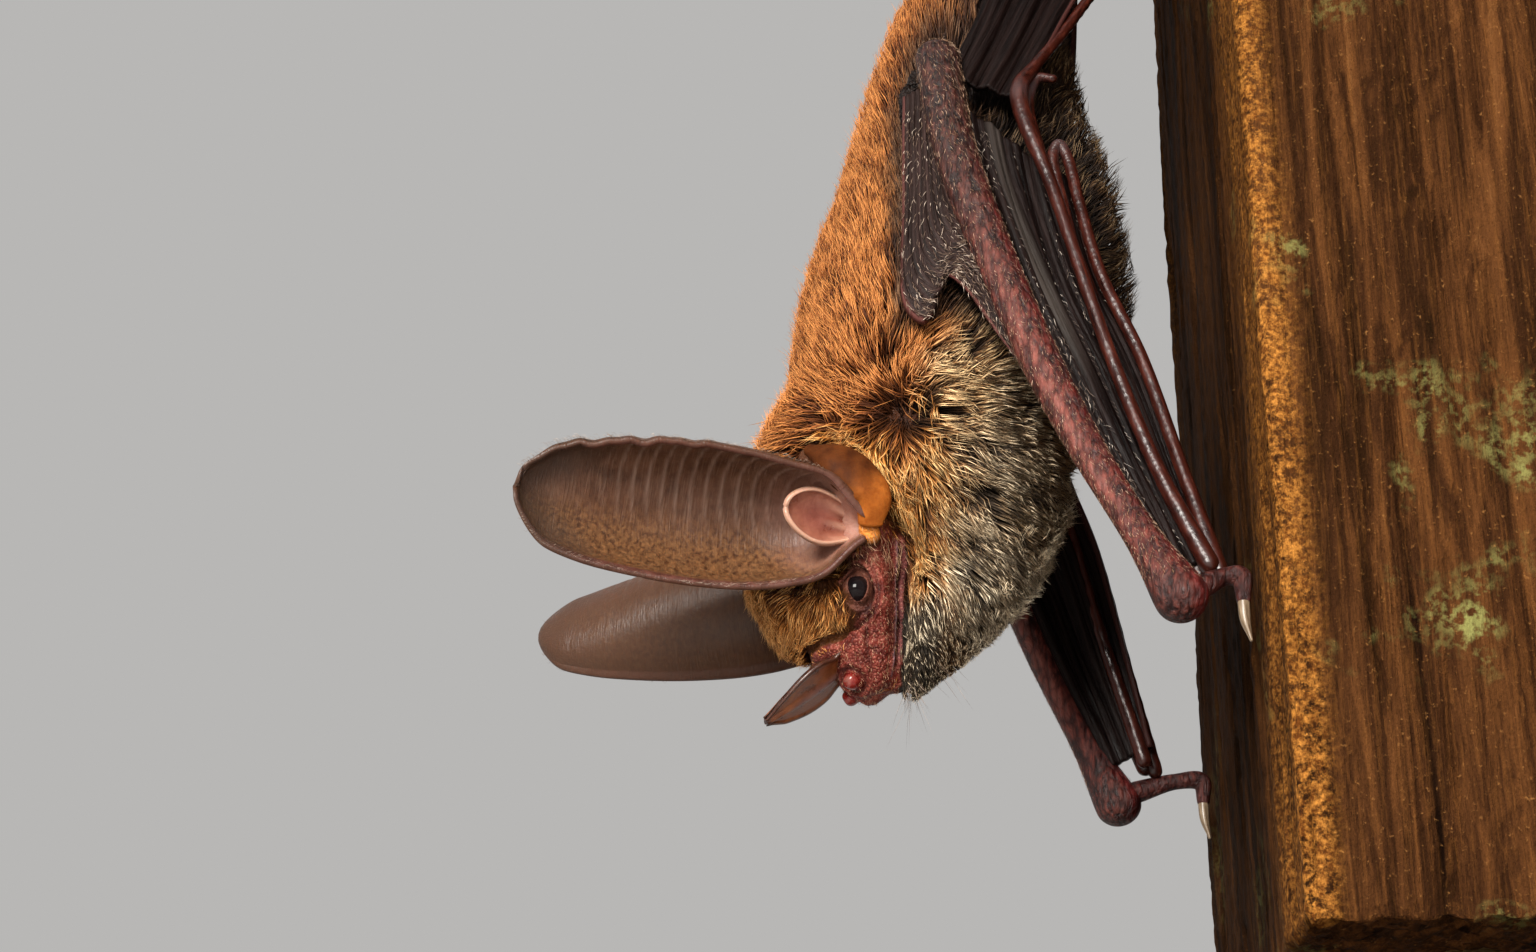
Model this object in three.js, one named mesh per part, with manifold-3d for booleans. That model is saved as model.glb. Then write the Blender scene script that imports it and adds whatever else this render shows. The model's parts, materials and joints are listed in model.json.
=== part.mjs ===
// A leaf-nosed bat with big ears, clinging head down to a cut length of old beam on a display stand.
// Millimetres. The bat is modelled in a frame of its own: +X runs from its back to the beam, -Z to its
// head, +Z to its feet and -Y to its left. The part's frame is +Z up with its origin under the base.
import * as THREE from "three";
import { mergeVertices } from "three/addons/utils/BufferGeometryUtils.js";
import Module from "manifold-3d";

const wasm = await Module();
wasm.setup();

// Driving dimensions.
const degrees = THREE.MathUtils.degToRad;
const gap = 0.3; // clearance between pieces that meet
const batHeight = 96; // the bat's frame above the floor
const batOffset = -20; // the bat's frame from the base's centre, along X
const lean = degrees(-8); // the bat hangs a little aslant across the beam
const beam = { face: 33.3, turn: degrees(4), thick: 24, width: 56, bottom: -40, top: 91 };
const base = { length: 104, width: 84, height: 8, corner: 10, bevel: 1 };
const rod = { radius: 2.5, spacing: 32, intoBase: 5, intoBeam: 8 };

// Joints of the left limbs; the right ones mirror them.
const shoulder = [12.6, -9.8, 7];
const elbow = [12.8, -13.2, 28.2];
const wrist = [27.0, -17.4, -19.2];
const hip = [17.5, -6.5, 43.5];
const knee = [18.0, -13.5, 55];
const ankle = [27.0, -11, 70];

const point = (p) => new THREE.Vector3(...p);
const mix = (a, b, t) => a + (b - a) * t;
const mixPoints = (a, b, t) => a.map((v, i) => mix(v, b[i], t));
const count = (n, make) => Array.from({ length: n }, (_, i) => make(i));

// How far along the bat's +X the beam's face is, at a place given for the left side.
// The beam is turned a little, so the right limbs reach further than the left ones.
const left = 1;
const right = -1;
const wall = (side, y, z) =>
  beam.face + Math.tan(beam.turn) * (side * y * Math.cos(lean) - z * Math.sin(lean));

// A value that runs smoothly through evenly spaced stations.
function along(values, t) {
  if (typeof values === "number") return values;
  const s = Math.min(Math.max(t, 0), 1) * (values.length - 1);
  const i = Math.min(Math.floor(s), values.length - 2);
  const at = (k) => values[Math.min(Math.max(k, 0), values.length - 1)];
  const [a, b, c, d] = [at(i - 1), at(i), at(i + 1), at(i + 2)];
  const f = s - i;
  const bend = 2 * a - 5 * b + 4 * c - d + f * (3 * (b - c) + d - a);
  return b + 0.5 * f * (c - a + f * bend);
}

const smooth = (line) => new THREE.CatmullRomCurve3(line.map(point), false, "centripetal");

// A closed solid from points and triangles, with its faces turned outwards.
function closed(points, triangles) {
  let volume = 0;
  for (const [a, b, c] of triangles)
    volume += points[a].dot(points[b].clone().cross(points[c]));
  const order = volume < 0 ? [0, 2, 1] : [0, 1, 2];
  return new wasm.Manifold(
    new wasm.Mesh({
      numProp: 3,
      vertProperties: new Float32Array(points.flatMap((p) => p.toArray())),
      triVerts: new Uint32Array(triangles.flatMap((t) => order.map((k) => t[k]))),
    }),
  );
}

// A solid from a three.js geometry.
function solidFrom(geometry) {
  const bare = geometry.clone();
  for (const name of ["normal", "uv"]) bare.deleteAttribute(name);
  const merged = mergeVertices(bare, 1e-4);
  return new wasm.Manifold(
    new wasm.Mesh({
      numProp: 3,
      vertProperties: merged.attributes.position.array,
      triVerts: new Uint32Array(merged.index.array),
    }),
  );
}

// Rings of points joined into a tube, and closed at both ends.
function skinRings(rings) {
  const sides = rings[0].length;
  const points = rings.flat();
  const triangles = [];
  for (let r = 0; r + 1 < rings.length; r++)
    for (let k = 0; k < sides; k++) {
      const a = r * sides + k;
      const b = r * sides + ((k + 1) % sides);
      triangles.push([a, b, b + sides], [a, b + sides, a + sides]);
    }
  for (const ring of [rings[0], rings.at(-1)]) {
    const start = rings.indexOf(ring) * sides;
    const centre = ring.reduce((sum, p) => sum.add(p), new THREE.Vector3());
    const hub = points.push(centre.divideScalar(sides)) - 1;
    for (let k = 0; k < sides; k++) {
      const [a, b] = [start + k, start + ((k + 1) % sides)];
      triangles.push(start === 0 ? [hub, b, a] : [hub, a, b]);
    }
  }
  return closed(points, triangles);
}

// A body swept along a smooth line. Its oval section changes along it, and its ends are rounded.
// deep is its half size square to Y, and wide is the other one. grow makes it fatter all over.
function sweep({ line, deep, wide = deep, sides = 6, steps = 4, grow = 0, capTurns = [55] }) {
  const curve = smooth(line);
  const ring = (t, reach, shrink) => {
    const forward = curve.getTangent(t);
    const up = forward.clone().cross(new THREE.Vector3(0, 1, 0)).normalize();
    const side = up.clone().cross(forward);
    const centre = curve.getPoint(t).addScaledVector(forward, reach);
    return count(sides, (k) => {
      const angle = (2 * Math.PI * k) / sides;
      return centre
        .clone()
        .addScaledVector(side, (along(wide, t) + grow) * shrink * Math.cos(angle))
        .addScaledVector(up, (along(deep, t) + grow) * shrink * Math.sin(angle));
    });
  };
  const cap = (t, turn) => {
    const size = Math.min(along(wide, t), along(deep, t)) + grow;
    const outward = t === 0 ? -size : size;
    return ring(t, outward * Math.sin(degrees(turn)), Math.cos(degrees(turn)));
  };
  return skinRings([
    ...capTurns.map((turn) => cap(0, turn)),
    ...count(steps + 1, (s) => ring(s / steps, 0, 1)),
    ...capTurns.toReversed().map((turn) => cap(1, turn)),
  ]);
}

// A thin curved sheet: surface(u, v) gives its middle, and its edges are closed.
function sheet({ surface, columns, rows, thick, grow = 0 }) {
  const middle = (u, v) => point(surface(u, v));
  const step = 1e-3;
  const grid = count((columns + 1) * (rows + 1), (i) => [
    Math.floor(i / (rows + 1)) / columns,
    (i % (rows + 1)) / rows,
  ]);
  const face = (sign) =>
    grid.map(([u, v]) => {
      const alongU = middle(Math.min(u + step, 1), v).sub(middle(Math.max(u - step, 0), v));
      const alongV = middle(u, Math.min(v + step, 1)).sub(middle(u, Math.max(v - step, 0)));
      const normal = alongU.cross(alongV).normalize();
      return middle(u, v).addScaledVector(normal, sign * (thick / 2 + grow));
    });
  const back = grid.length;
  const at = (u, v) => u * (rows + 1) + v;
  const triangles = [];
  for (let u = 0; u < columns; u++)
    for (let v = 0; v < rows; v++) {
      const [a, b, c, d] = [at(u, v), at(u + 1, v), at(u + 1, v + 1), at(u, v + 1)];
      triangles.push([a, b, c], [a, c, d]);
      triangles.push([a + back, c + back, b + back], [a + back, d + back, c + back]);
    }
  const rim = [
    ...count(columns, (u) => at(u, 0)),
    ...count(rows, (v) => at(columns, v)),
    ...count(columns, (u) => at(columns - u, rows)),
    ...count(rows, (v) => at(0, rows - v)),
  ];
  rim.forEach((a, i) => {
    const b = rim[(i + 1) % rim.length];
    triangles.push([a, b + back, b], [a, a + back, b + back]);
  });
  return closed([...face(1), ...face(-1)], triangles);
}

function ball(centre, size, sides, grow) {
  const radii = [size].flat();
  const shape = new THREE.SphereGeometry(1, sides, Math.round(sides * 0.7));
  shape.scale(...[0, 1, 2].map((i) => (radii[i] ?? radii[0]) + grow));
  return solidFrom(shape.translate(...centre));
}

const mirror = (solid) => solid.transform(new THREE.Matrix4().makeScale(1, -1, 1).elements);
const withMirror = (solid) => solid.add(mirror(solid));

// ---- Trunk and neck ----

const trunk = (grow) =>
  sweep({
    line: [
      [13.2, 0, 0.5],
      [13.3, 0, 6],
      [15.2, 0, 13],
      [16.6, 0, 21],
      [16.5, 0, 29],
      [17.0, 0, 37],
      [17.8, 0, 44],
      [18.2, 0, 48],
    ],
    deep: [9.8, 12.5, 13.1, 12.5, 10.3, 8.6, 6.9, 4.6],
    wide: [10.6, 12.4, 12.2, 11.5, 10.9, 10.0, 8.4, 5.6],
    sides: 14,
    steps: 8,
    grow,
  });

const neck = (grow) =>
  sweep({
    line: [
      [12.9, 0, -14.6],
      [13.4, 0, -12.2],
      [14.1, 0, -8.6],
      [13.9, 0, -4],
      [12.9, 0, 0.5],
      [12.3, 0, 4],
    ],
    deep: [1.7, 3.3, 6.0, 9.0, 10.2, 9.4],
    wide: [2.5, 4.5, 7.1, 9.6, 11.1, 10.6],
    sides: 12,
    steps: 5,
    grow,
  });

// ---- Head ----

const skull = (grow) =>
  sweep({
    line: [
      [5.6, 0, 4.2],
      [4.8, 0, 0],
      [4.5, 0, -4],
      [4.3, 0, -8],
      [4.6, 0, -11.4],
      [6.0, 0, -14.2],
      [7.0, 0, -16.6],
    ],
    deep: [5.6, 6.4, 6.7, 6.5, 5.6, 3.3, 1.9],
    wide: [6.2, 7.1, 7.2, 6.7, 5.1, 3.0, 2.3],
    sides: 12,
    steps: 7,
    grow,
  });

const cheek = (grow) =>
  sweep({
    line: [
      [6.9, -4.5, -7.6],
      [7.2, -4.1, -11.2],
      [7.5, -2.5, -14.6],
      [7.7, -1.1, -17.2],
    ],
    deep: [1.4, 1.6, 1.7, 1.0],
    wide: [1.2, 1.4, 1.5, 1.0],
    sides: 5,
    steps: 2,
    grow,
  });

function head(grow) {
  const flesh = skull(grow).add(withMirror(cheek(grow)));
  return grow ? flesh : flesh.subtract(withMirror(earCup()));
}

const eye = (grow) => ball([6.5, -4.45, -11.6], 1.12, 8, grow);

const lowerJaw = (grow) =>
  sweep({
    line: [
      [11.6, 0, -7.6],
      [12.0, 0, -11],
      [11.6, 0, -14.4],
      [10.3, 0, -17.4],
    ],
    deep: [2.2, 2.8, 2.3, 1.1],
    wide: [4.8, 4.8, 3.6, 1.9],
    sides: 10,
    grow,
  });

// The upright leaf on the nose: a spear on a stalk, bowed, folded along its midrib and twisted a little.
const leaf = {
  root: [5.9, -15.2],
  tip: [-0.2, -20.1],
  halfWidth: [1.3, 2.1, 1.8, 2.4, 2.3, 1.5, 0.2],
  twist: [0.1, -0.12], // how far an edge leans for each millimetre across, along X and Z
};
const noseLeaf = (grow) =>
  sheet({
    surface: (u, v) => {
      const across = v * 2 - 1;
      const bow = 0.7 * Math.sin(Math.PI * u);
      const fold = 0.55 * Math.abs(across) * Math.sin(Math.PI * Math.min(u + 0.15, 1));
      const [x, z] = mixPoints(leaf.root, leaf.tip, u);
      const y = across * along(leaf.halfWidth, u);
      return [x + bow + 0.6 * fold + y * leaf.twist[0], y, z + 0.3 * bow + fold + y * leaf.twist[1]];
    },
    columns: 6,
    rows: 4,
    thick: 0.6,
    grow,
  });

const nosePad = (grow) =>
  ball([6.3, 0, -16.7], [1.35, 1.8, 1.1], 8, grow).add(
    withMirror(ball([6.1, -1.3, -17.3], 0.75, 6, grow)),
  );

// ---- Ears ----

const ear = {
  root: [7.0, -6.9, -8.1],
  middle: [-5.6, -9.3, -8.2],
  tip: [-17.5, -11.6, -7.5],
  turn: degrees(22), // how far its mouth turns forward from straight out
  halfWidth: [0.9, 3.5, 4.3, 4.75, 4.9, 4.85, 4.6, 4.1, 3.1, 0.6],
  depth: [1.5, 4.6, 5.4, 5.4, 5.1, 4.7, 4.0, 3.0, 1.8, 0.5],
  halfAngle: degrees(96), // of the half tube that it is
  thick: 0.6,
};
const earLine = smooth([ear.root, ear.middle, ear.tip]);

// Directions at a share u of the ear's length: along it, out of its mouth, and to its front rim.
function earFrame(u) {
  const forward = earLine.getTangent(u);
  const out = new THREE.Vector3(0, -Math.cos(ear.turn), -Math.sin(ear.turn));
  out.addScaledVector(forward, -out.dot(forward)).normalize();
  const front = out.clone().cross(forward);
  if (front.z > 0) front.negate();
  return { centre: earLine.getPoint(u), forward, out, front };
}

function earPoint(u, angle, depth = along(ear.depth, u), grow = 0) {
  const { centre, out, front } = earFrame(u);
  return centre
    .addScaledVector(front, (along(ear.halfWidth, u) + grow) * Math.sin(angle))
    .addScaledVector(out, -(depth + grow) * Math.cos(angle));
}

const earShell = (grow) =>
  sheet({
    surface: (u, v) => earPoint(u, (v * 2 - 1) * ear.halfAngle).toArray(),
    columns: 9,
    rows: 6,
    thick: ear.thick,
    grow,
  });

// What the root end of the ear's cup holds open in the head.
function earCup() {
  const [sides, rings, reach, mouthDepth] = [8, 3, 0.55, 1.6];
  const clear = (ear.thick / 2 + gap) / Math.cos(Math.PI / sides) + 0.25;
  return skinRings(
    count(rings, (r) => {
      const u = (reach * r) / (rings - 1);
      return count(sides, (k) => {
        const angle = (2 * Math.PI * k) / sides;
        const depth = Math.cos(angle) > 0 ? along(ear.depth, u) : mouthDepth;
        return earPoint(u, angle, depth, clear);
      });
    }),
  );
}

// The round lobe before the ear's canal.
const tragus = (grow) =>
  sheet({
    surface: (u, v) => {
      const { centre, forward, out, front } = earFrame(0.03);
      const across = v * 2 - 1;
      const size = along([0.9, 1.3, 1.75, 1.9, 1.5, 0.4], u);
      return centre
        .addScaledVector(forward, -0.3 + 5.1 * u)
        .addScaledVector(out, -2.2 + 1.2 * u - 0.35 * Math.cos(across * 1.5))
        .addScaledVector(front, -1.1 * u + across * size)
        .toArray();
    },
    columns: 4,
    rows: 3,
    thick: 0.5,
    grow,
  });

// ---- Arm and hand, left side ----

const upperArm = (grow) =>
  sweep({ line: [shoulder, mixPoints(shoulder, elbow, 0.5), elbow], deep: [3.0, 2.4, 1.5], sides: 7, grow });

const forearmLine = [
  [12.9, -13.6, 28.6],
  [13.7, -13.9, 20.5],
  [15.9, -14.6, 11],
  [18.5, -15.3, 2],
  [21.6, -16.2, -7],
  [24.6, -16.9, -14],
  wrist,
];
const forearm = (grow) =>
  sweep({
    line: forearmLine,
    deep: [1.7, 1.75, 1.65, 1.45, 1.2, 1.15, 1.6],
    wide: [1.6, 1.7, 1.55, 1.35, 1.15, 1.1, 1.5],
    sides: 8,
    steps: 9,
    grow,
  }).add(ball(wrist, [1.95, 1.7, 1.85], 7, grow));

const thumb = (grow, side) => {
  const reach = wall(side, -17, -19);
  return sweep({
    line: [
      [wrist[0] + 1.6, -17.2, -18.2],
      [mix(wrist[0] + 1.6, reach - 0.9, 0.6), -17, -17.6],
      [reach - 1.0, -17, -17.5],
      [reach - 0.95, -17, -19.0],
    ],
    deep: [0.8, 0.6, 0.68, 0.55],
    sides: 5,
    grow,
  });
};

const thumbClaw = (grow, side) => {
  const reach = wall(side, -17, -21);
  return sweep({
    line: [
      [reach - 0.95, -17, -19.4],
      [reach - 0.95, -17, -20.9],
      [reach - 0.72, -17, -22.1],
    ],
    deep: [0.45, 0.36, 0.25],
    sides: 5,
    steps: 2,
    grow,
  });
};

// Each finger runs back from the wrist beside the forearm, then bends at its knuckle.
const fingerLines = {
  3: [
    [29.9, -16.5, -16.8],
    [28.3, -15.7, -9.1],
    [26.2, -14.7, 1.2],
    [24.0, -14.1, 8.4],
    [22.9, -13.6, 14.8],
    [22.2, -13.2, 19.9],
    [21.7, -13.2, 20.9],
    [21.2, -13.3, 19.9],
    [21.7, -13.6, 14.8],
    [22.5, -13.9, 9.4],
  ],
  4: [
    [28.9, -15.0, -16.6],
    [25.9, -14.2, -5],
    [23.4, -13.3, 7],
    [20.6, -12.2, 20],
    [19.8, -12.0, 26],
    [20.6, -12.2, 28.0],
    [21.7, -12.4, 27.8],
  ],
  5: [
    [29.2, -16.7, -16.4],
    [26.5, -16.2, -9.0],
    [24.0, -15.5, 0.6],
    [20.9, -14.4, 15.8],
    [18.9, -13.6, 25.4],
    [20.3, -12.4, 28.9],
    [22.9, -11.4, 33.2],
    [25.9, -10.4, 38.4],
  ],
};
const fingerThick = {
  3: [0.6, 0.5, 0.48, 0.45, 0.45, 0.45, 0.45, 0.45, 0.42, 0.35],
  4: [0.6, 0.48, 0.45, 0.45, 0.45, 0.4, 0.35],
  5: [0.7, 0.55, 0.5, 0.5, 0.7, 0.5, 0.45, 0.4],
};
const finger = (number, steps) => (grow) =>
  sweep({ line: fingerLines[number], deep: fingerThick[number], sides: 5, steps, grow });

// ---- Wing skin, left side ----

// The narrow web before the arm. Its free edge runs down to the shoulder, back up over an arch, and
// down along the bone; held says where along the bone each point of the edge hangs from.
const armWebEdge = [
  [10.4, -13.0, 25.5],
  [10.0, -13.0, 16.0],
  [9.9, -12.9, 6.6],
  [11.2, -12.9, 5.3],
  [12.1, -13.2, 7.9],
  [12.9, -13.6, 9.0],
  [14.1, -14.0, 7.7],
  [16.7, -14.6, 2.7],
  [19.4, -15.3, -2.6],
];
const armWeb = (grow) => {
  const bone = smooth(forearmLine);
  const edge = smooth(armWebEdge);
  const held = [0.06, 0.14, 0.21, 0.25, 0.3, 0.36, 0.41, 0.51, 0.6];
  return sheet({
    surface: (u, v) => {
      const p = mixPoints(bone.getPoint(along(held, u)).toArray(), edge.getPoint(u).toArray(), v);
      p[1] -= 0.5 * Math.sin(Math.PI * v);
      return p;
    },
    columns: 12,
    rows: 2,
    thick: 0.6,
    grow,
  });
};

// The folded skin of the hand: pleats that run lengthwise between the forearm and the third finger.
const handWeb = (grow) => {
  const first = smooth(forearmLine);
  const last = smooth(fingerLines[3]);
  const pleats = 2;
  return sheet({
    surface: (u, v) => {
      const inner = first.getPoint(0.92 - 0.86 * u).toArray();
      const outer = last.getPoint(0.02 + 0.49 * u).toArray();
      const p = mixPoints(inner, outer, v);
      const depth = 0.15 + 0.4 * Math.sin(Math.PI * u);
      p[1] += mix(0.4, 1.3, v) + depth * Math.sin(2 * Math.PI * pleats * v);
      return p;
    },
    columns: 4,
    rows: 8,
    thick: 0.55,
    grow,
  });
};

// The skin between the arm, the flank and the leg.
const sideWeb = (grow) =>
  sheet({
    surface: (u, v) => {
      const flank = [
        [13.5, 16.5, 18.5, 19.5, 25.0],
        [-12.9, -12.4, -11.0, -13.3, -11.8],
        [27.6, 35, 43, 56, 67.5],
      ];
      const edge = [
        [18.8, 22.5, 26.0, 27.5, 28.2],
        [-12.6, -11.8, -10.6, -11.0, -11.4],
        [25.7, 33, 42, 55, 66.5],
      ];
      return [0, 1, 2].map((axis) => mix(along(flank[axis], u), along(edge[axis], u), v));
    },
    columns: 6,
    rows: 2,
    thick: 0.6,
    grow,
  });

// ---- Leg, left side, and tail ----

const thigh = (grow) =>
  sweep({ line: [hip, mixPoints(hip, knee, 0.5), knee], deep: [3.0, 2.4, 1.5], sides: 7, steps: 3, grow });

const shin = (grow) =>
  sweep({ line: [knee, mixPoints(knee, ankle, 0.5), ankle], deep: [1.3, 1.0, 0.95], grow });

const foot = (grow, side) => {
  const reach = wall(side, -11, 76);
  const toeRoot = [reach - 2.8, -11, 74];
  const toe = (k) => {
    const fan = (spread) => toeRoot[1] + k * (0.75 + spread);
    return sweep({
      line: [
        [toeRoot[0] - 0.3, fan(0), 73.4],
        [reach - 1.7, fan(0.2), 76.6],
        [reach - 1.3, fan(0.4), 79.6],
        [reach - 0.75, fan(0.45), 80.8],
      ],
      deep: [0.5, 0.42, 0.4, 0.25],
      sides: 4,
      steps: 2,
      grow,
    });
  };
  const sole = sweep({
    line: [ankle, mixPoints(ankle, toeRoot, 0.5), toeRoot],
    deep: [0.95, 0.85, 0.75],
    wide: [1.0, 1.3, 1.8],
    steps: 2,
    grow,
  });
  return [-2, -1, 0, 1, 2].reduce((solid, k) => solid.add(toe(k)), sole);
};

// The spur at the ankle that spreads the tail's web.
const spur = (grow) =>
  sweep({
    line: [
      [ankle[0] - 0.4, ankle[1] + 0.9, ankle[2] - 0.8],
      [25.2, -7.0, 70.6],
      [24.2, -4.4, 70.2],
    ],
    deep: [0.5, 0.45, 0.3],
    sides: 5,
    steps: 2,
    grow,
  });

const tail = (grow) =>
  sweep({
    line: [
      [18.4, 0, 50],
      [20.2, 0, 57],
      [22.6, 0, 65],
      [24.6, 0, 73],
      [25.2, 0, 77.5],
    ],
    deep: [1.2, 0.95, 0.75, 0.55, 0.35],
    steps: 6,
    grow,
  });

const tailWeb = (grow) =>
  sheet({
    surface: (u, v) => {
      const across = v * 2 - 1;
      const sag = 1 - Math.cos((across * Math.PI) / 2);
      const notch = 8 * u * Math.abs(across) * (1 - Math.abs(across));
      return [
        along([18.2, 19.2, 21.0, 23.6, 26.0], u) - 1.6 * sag * u,
        along([5.2, 11.2, 12.2, 11.2, 9.4], u) * across,
        along([47.5, 53.5, 59.5, 65, 69.4], u) - notch,
      ];
    },
    columns: 4,
    rows: 4,
    thick: 0.6,
    grow,
  });

// ---- Beam and stand, in the part's frame ----

const beamHeart = [batOffset + beam.face + beam.thick / 2, 0];
const turned = (solid) => {
  const pivot = new THREE.Matrix4().makeTranslation(batOffset + beam.face, 0, 0);
  const turn = new THREE.Matrix4().makeRotationZ(-beam.turn);
  return solid.transform(pivot.clone().multiply(turn).multiply(pivot.clone().invert()).elements);
};

// A cut length of old beam: its faces are worn into shallow grooves along the grain.
function perch() {
  const [levels, perFace, wear] = [3, 5, 0.9];
  const half = [beam.thick / 2, beam.width / 2];
  const bottom = batHeight + beam.bottom;
  const height = beam.top - beam.bottom;
  const corners = [
    [-1, -1],
    [1, -1],
    [1, 1],
    [-1, 1],
  ];
  return turned(
    skinRings(
      count(levels + 1, (level) =>
        count(4 * perFace, (k) => {
          const face = Math.floor(k / perFace);
          const place = mixPoints(corners[face], corners[(face + 1) % 4], (k % perFace) / perFace);
          const groove = wear * (0.5 + 0.5 * Math.sin(2.4 * k + 0.5 * Math.sin(1.1 * level + k)));
          const [x, y] = place.map((share, i) => {
            const worn = Math.abs(share) === 1 ? groove : 0;
            return share * (half[i] - worn);
          });
          return point([beamHeart[0] + x, y, bottom + (height * level) / levels]);
        }),
      ),
    ),
  );
}

const standRod = (y) => (grow) => {
  const bottom = base.height - rod.intoBase - grow;
  const top = batHeight + beam.bottom + rod.intoBeam + grow;
  const shape = new THREE.CylinderGeometry(rod.radius + grow, rod.radius + grow, top - bottom, 12);
  shape.rotateX(Math.PI / 2).translate(beamHeart[0], y, (top + bottom) / 2);
  return turned(solidFrom(shape));
};

function standBase() {
  const [l, w, c] = [base.length / 2, base.width / 2, base.corner];
  const outline = new THREE.Shape();
  outline.absarc(l - c, w - c, c, 0, degrees(90));
  outline.absarc(c - l, w - c, c, degrees(90), degrees(180));
  outline.absarc(c - l, c - w, c, degrees(180), degrees(270));
  outline.absarc(l - c, c - w, c, degrees(270), degrees(360));
  const slab = new THREE.ExtrudeGeometry(outline, {
    depth: base.height - base.bevel,
    bevelSize: base.bevel,
    bevelOffset: -base.bevel,
    bevelThickness: base.bevel,
    bevelSegments: 1,
    curveSegments: 2,
  });
  const below = new THREE.BoxGeometry(2 * base.length, 2 * base.width, 2 * base.bevel);
  return solidFrom(slab).subtract(solidFrom(below.translate(0, 0, -base.bevel)));
}

// ---- Placing ----

const looks = {
  fur: { color: 0x8a5a2c, roughness: 0.9 },
  throatFur: { color: 0x9a8c6c, roughness: 0.9 },
  ear: { color: 0x6b4634, roughness: 0.6 },
  face: { color: 0x8a4038, roughness: 0.6 },
  leaf: { color: 0x7a4020, roughness: 0.5 },
  eye: { color: 0x120c0a, roughness: 0.1 },
  arm: { color: 0x9c4a46, roughness: 0.5 },
  bone: { color: 0x6e2e22, roughness: 0.5 },
  web: { color: 0x33211e, roughness: 0.5 },
  claw: { color: 0x4a3a2c, roughness: 0.4 },
  wood: { color: 0x6b4526, roughness: 0.85 },
  base: { color: 0x2a2622, roughness: 0.5 },
  metal: { color: 0xb0a080, roughness: 0.35, metalness: 1 },
};

const toPart = new THREE.Matrix4()
  .makeTranslation(batOffset, 0, batHeight)
  .multiply(new THREE.Matrix4().makeRotationX(lean));

const bat = new THREE.Group();
const placed = [];

const boxesMeet = (a, b) => {
  const [p, q] = [a.boundingBox(), b.boundingBox()];
  return [0, 1, 2].every((i) => p.min[i] <= q.max[i] && q.min[i] <= p.max[i]);
};

// Adds one piece. It is cut back, with the gap, from each piece that was placed before it.
function place(name, look, make) {
  let solid = make(0);
  const keepClear = make(gap);
  for (const other of placed)
    if (boxesMeet(solid, other)) solid = solid.subtract(other);
  placed.push(keepClear);
  const body = solid.decompose().sort((a, b) => b.volume() - a.volume())[0];
  const { vertProperties, triVerts } = body.getMesh();
  const geometry = new THREE.BufferGeometry();
  geometry.setAttribute("position", new THREE.BufferAttribute(vertProperties, 3));
  geometry.setIndex(new THREE.BufferAttribute(triVerts, 1));
  geometry.computeVertexNormals();
  const mesh = new THREE.Mesh(geometry, new THREE.MeshStandardMaterial(looks[look]));
  mesh.name = name;
  bat.add(mesh);
}

const placeMiddle = (name, look, make) =>
  place(name, look, (grow) => make(grow).transform(toPart.elements));

function placePair(name, look, make) {
  placeMiddle(name + "_left", look, (grow) => make(grow, left));
  placeMiddle(name + "_right", look, (grow) => mirror(make(grow, right)));
}

placePair("eye", "eye", eye);
placePair("thumb_claw", "claw", thumbClaw);
placePair("thumb", "arm", thumb);
placePair("ear", "ear", earShell);
placePair("tragus", "ear", tragus);
placeMiddle("nose_pad", "face", nosePad);
placeMiddle("nose_leaf", "leaf", noseLeaf);
placeMiddle("head", "face", head);
placeMiddle("lower_jaw", "throatFur", lowerJaw);
placeMiddle("neck", "throatFur", neck);
placeMiddle("trunk", "fur", trunk);
placePair("forearm", "arm", forearm);
placePair("upper_arm", "fur", upperArm);
placePair("finger_5", "bone", finger(5, 9));
placePair("finger_4", "bone", finger(4, 6));
placePair("finger_3", "bone", finger(3, 11));
placePair("foot", "arm", foot);
placePair("shin", "arm", shin);
placePair("thigh", "fur", thigh);
placeMiddle("tail", "bone", tail);
placePair("spur", "bone", spur);
placePair("arm_web", "web", armWeb);
placePair("hand_web", "web", handWeb);
placePair("side_web", "web", sideWeb);
placeMiddle("tail_web", "web", tailWeb);
place("stand_rod_1", "metal", standRod(-rod.spacing / 2));
place("stand_rod_2", "metal", standRod(rod.spacing / 2));
place("perch", "wood", perch);
place("stand_base", "base", standBase);

export default bat;
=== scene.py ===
import json
import math

import bpy
import numpy as np
from mathutils import Matrix, Vector
from mathutils.bvhtree import BVHTree
from mathutils.kdtree import KDTree

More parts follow.
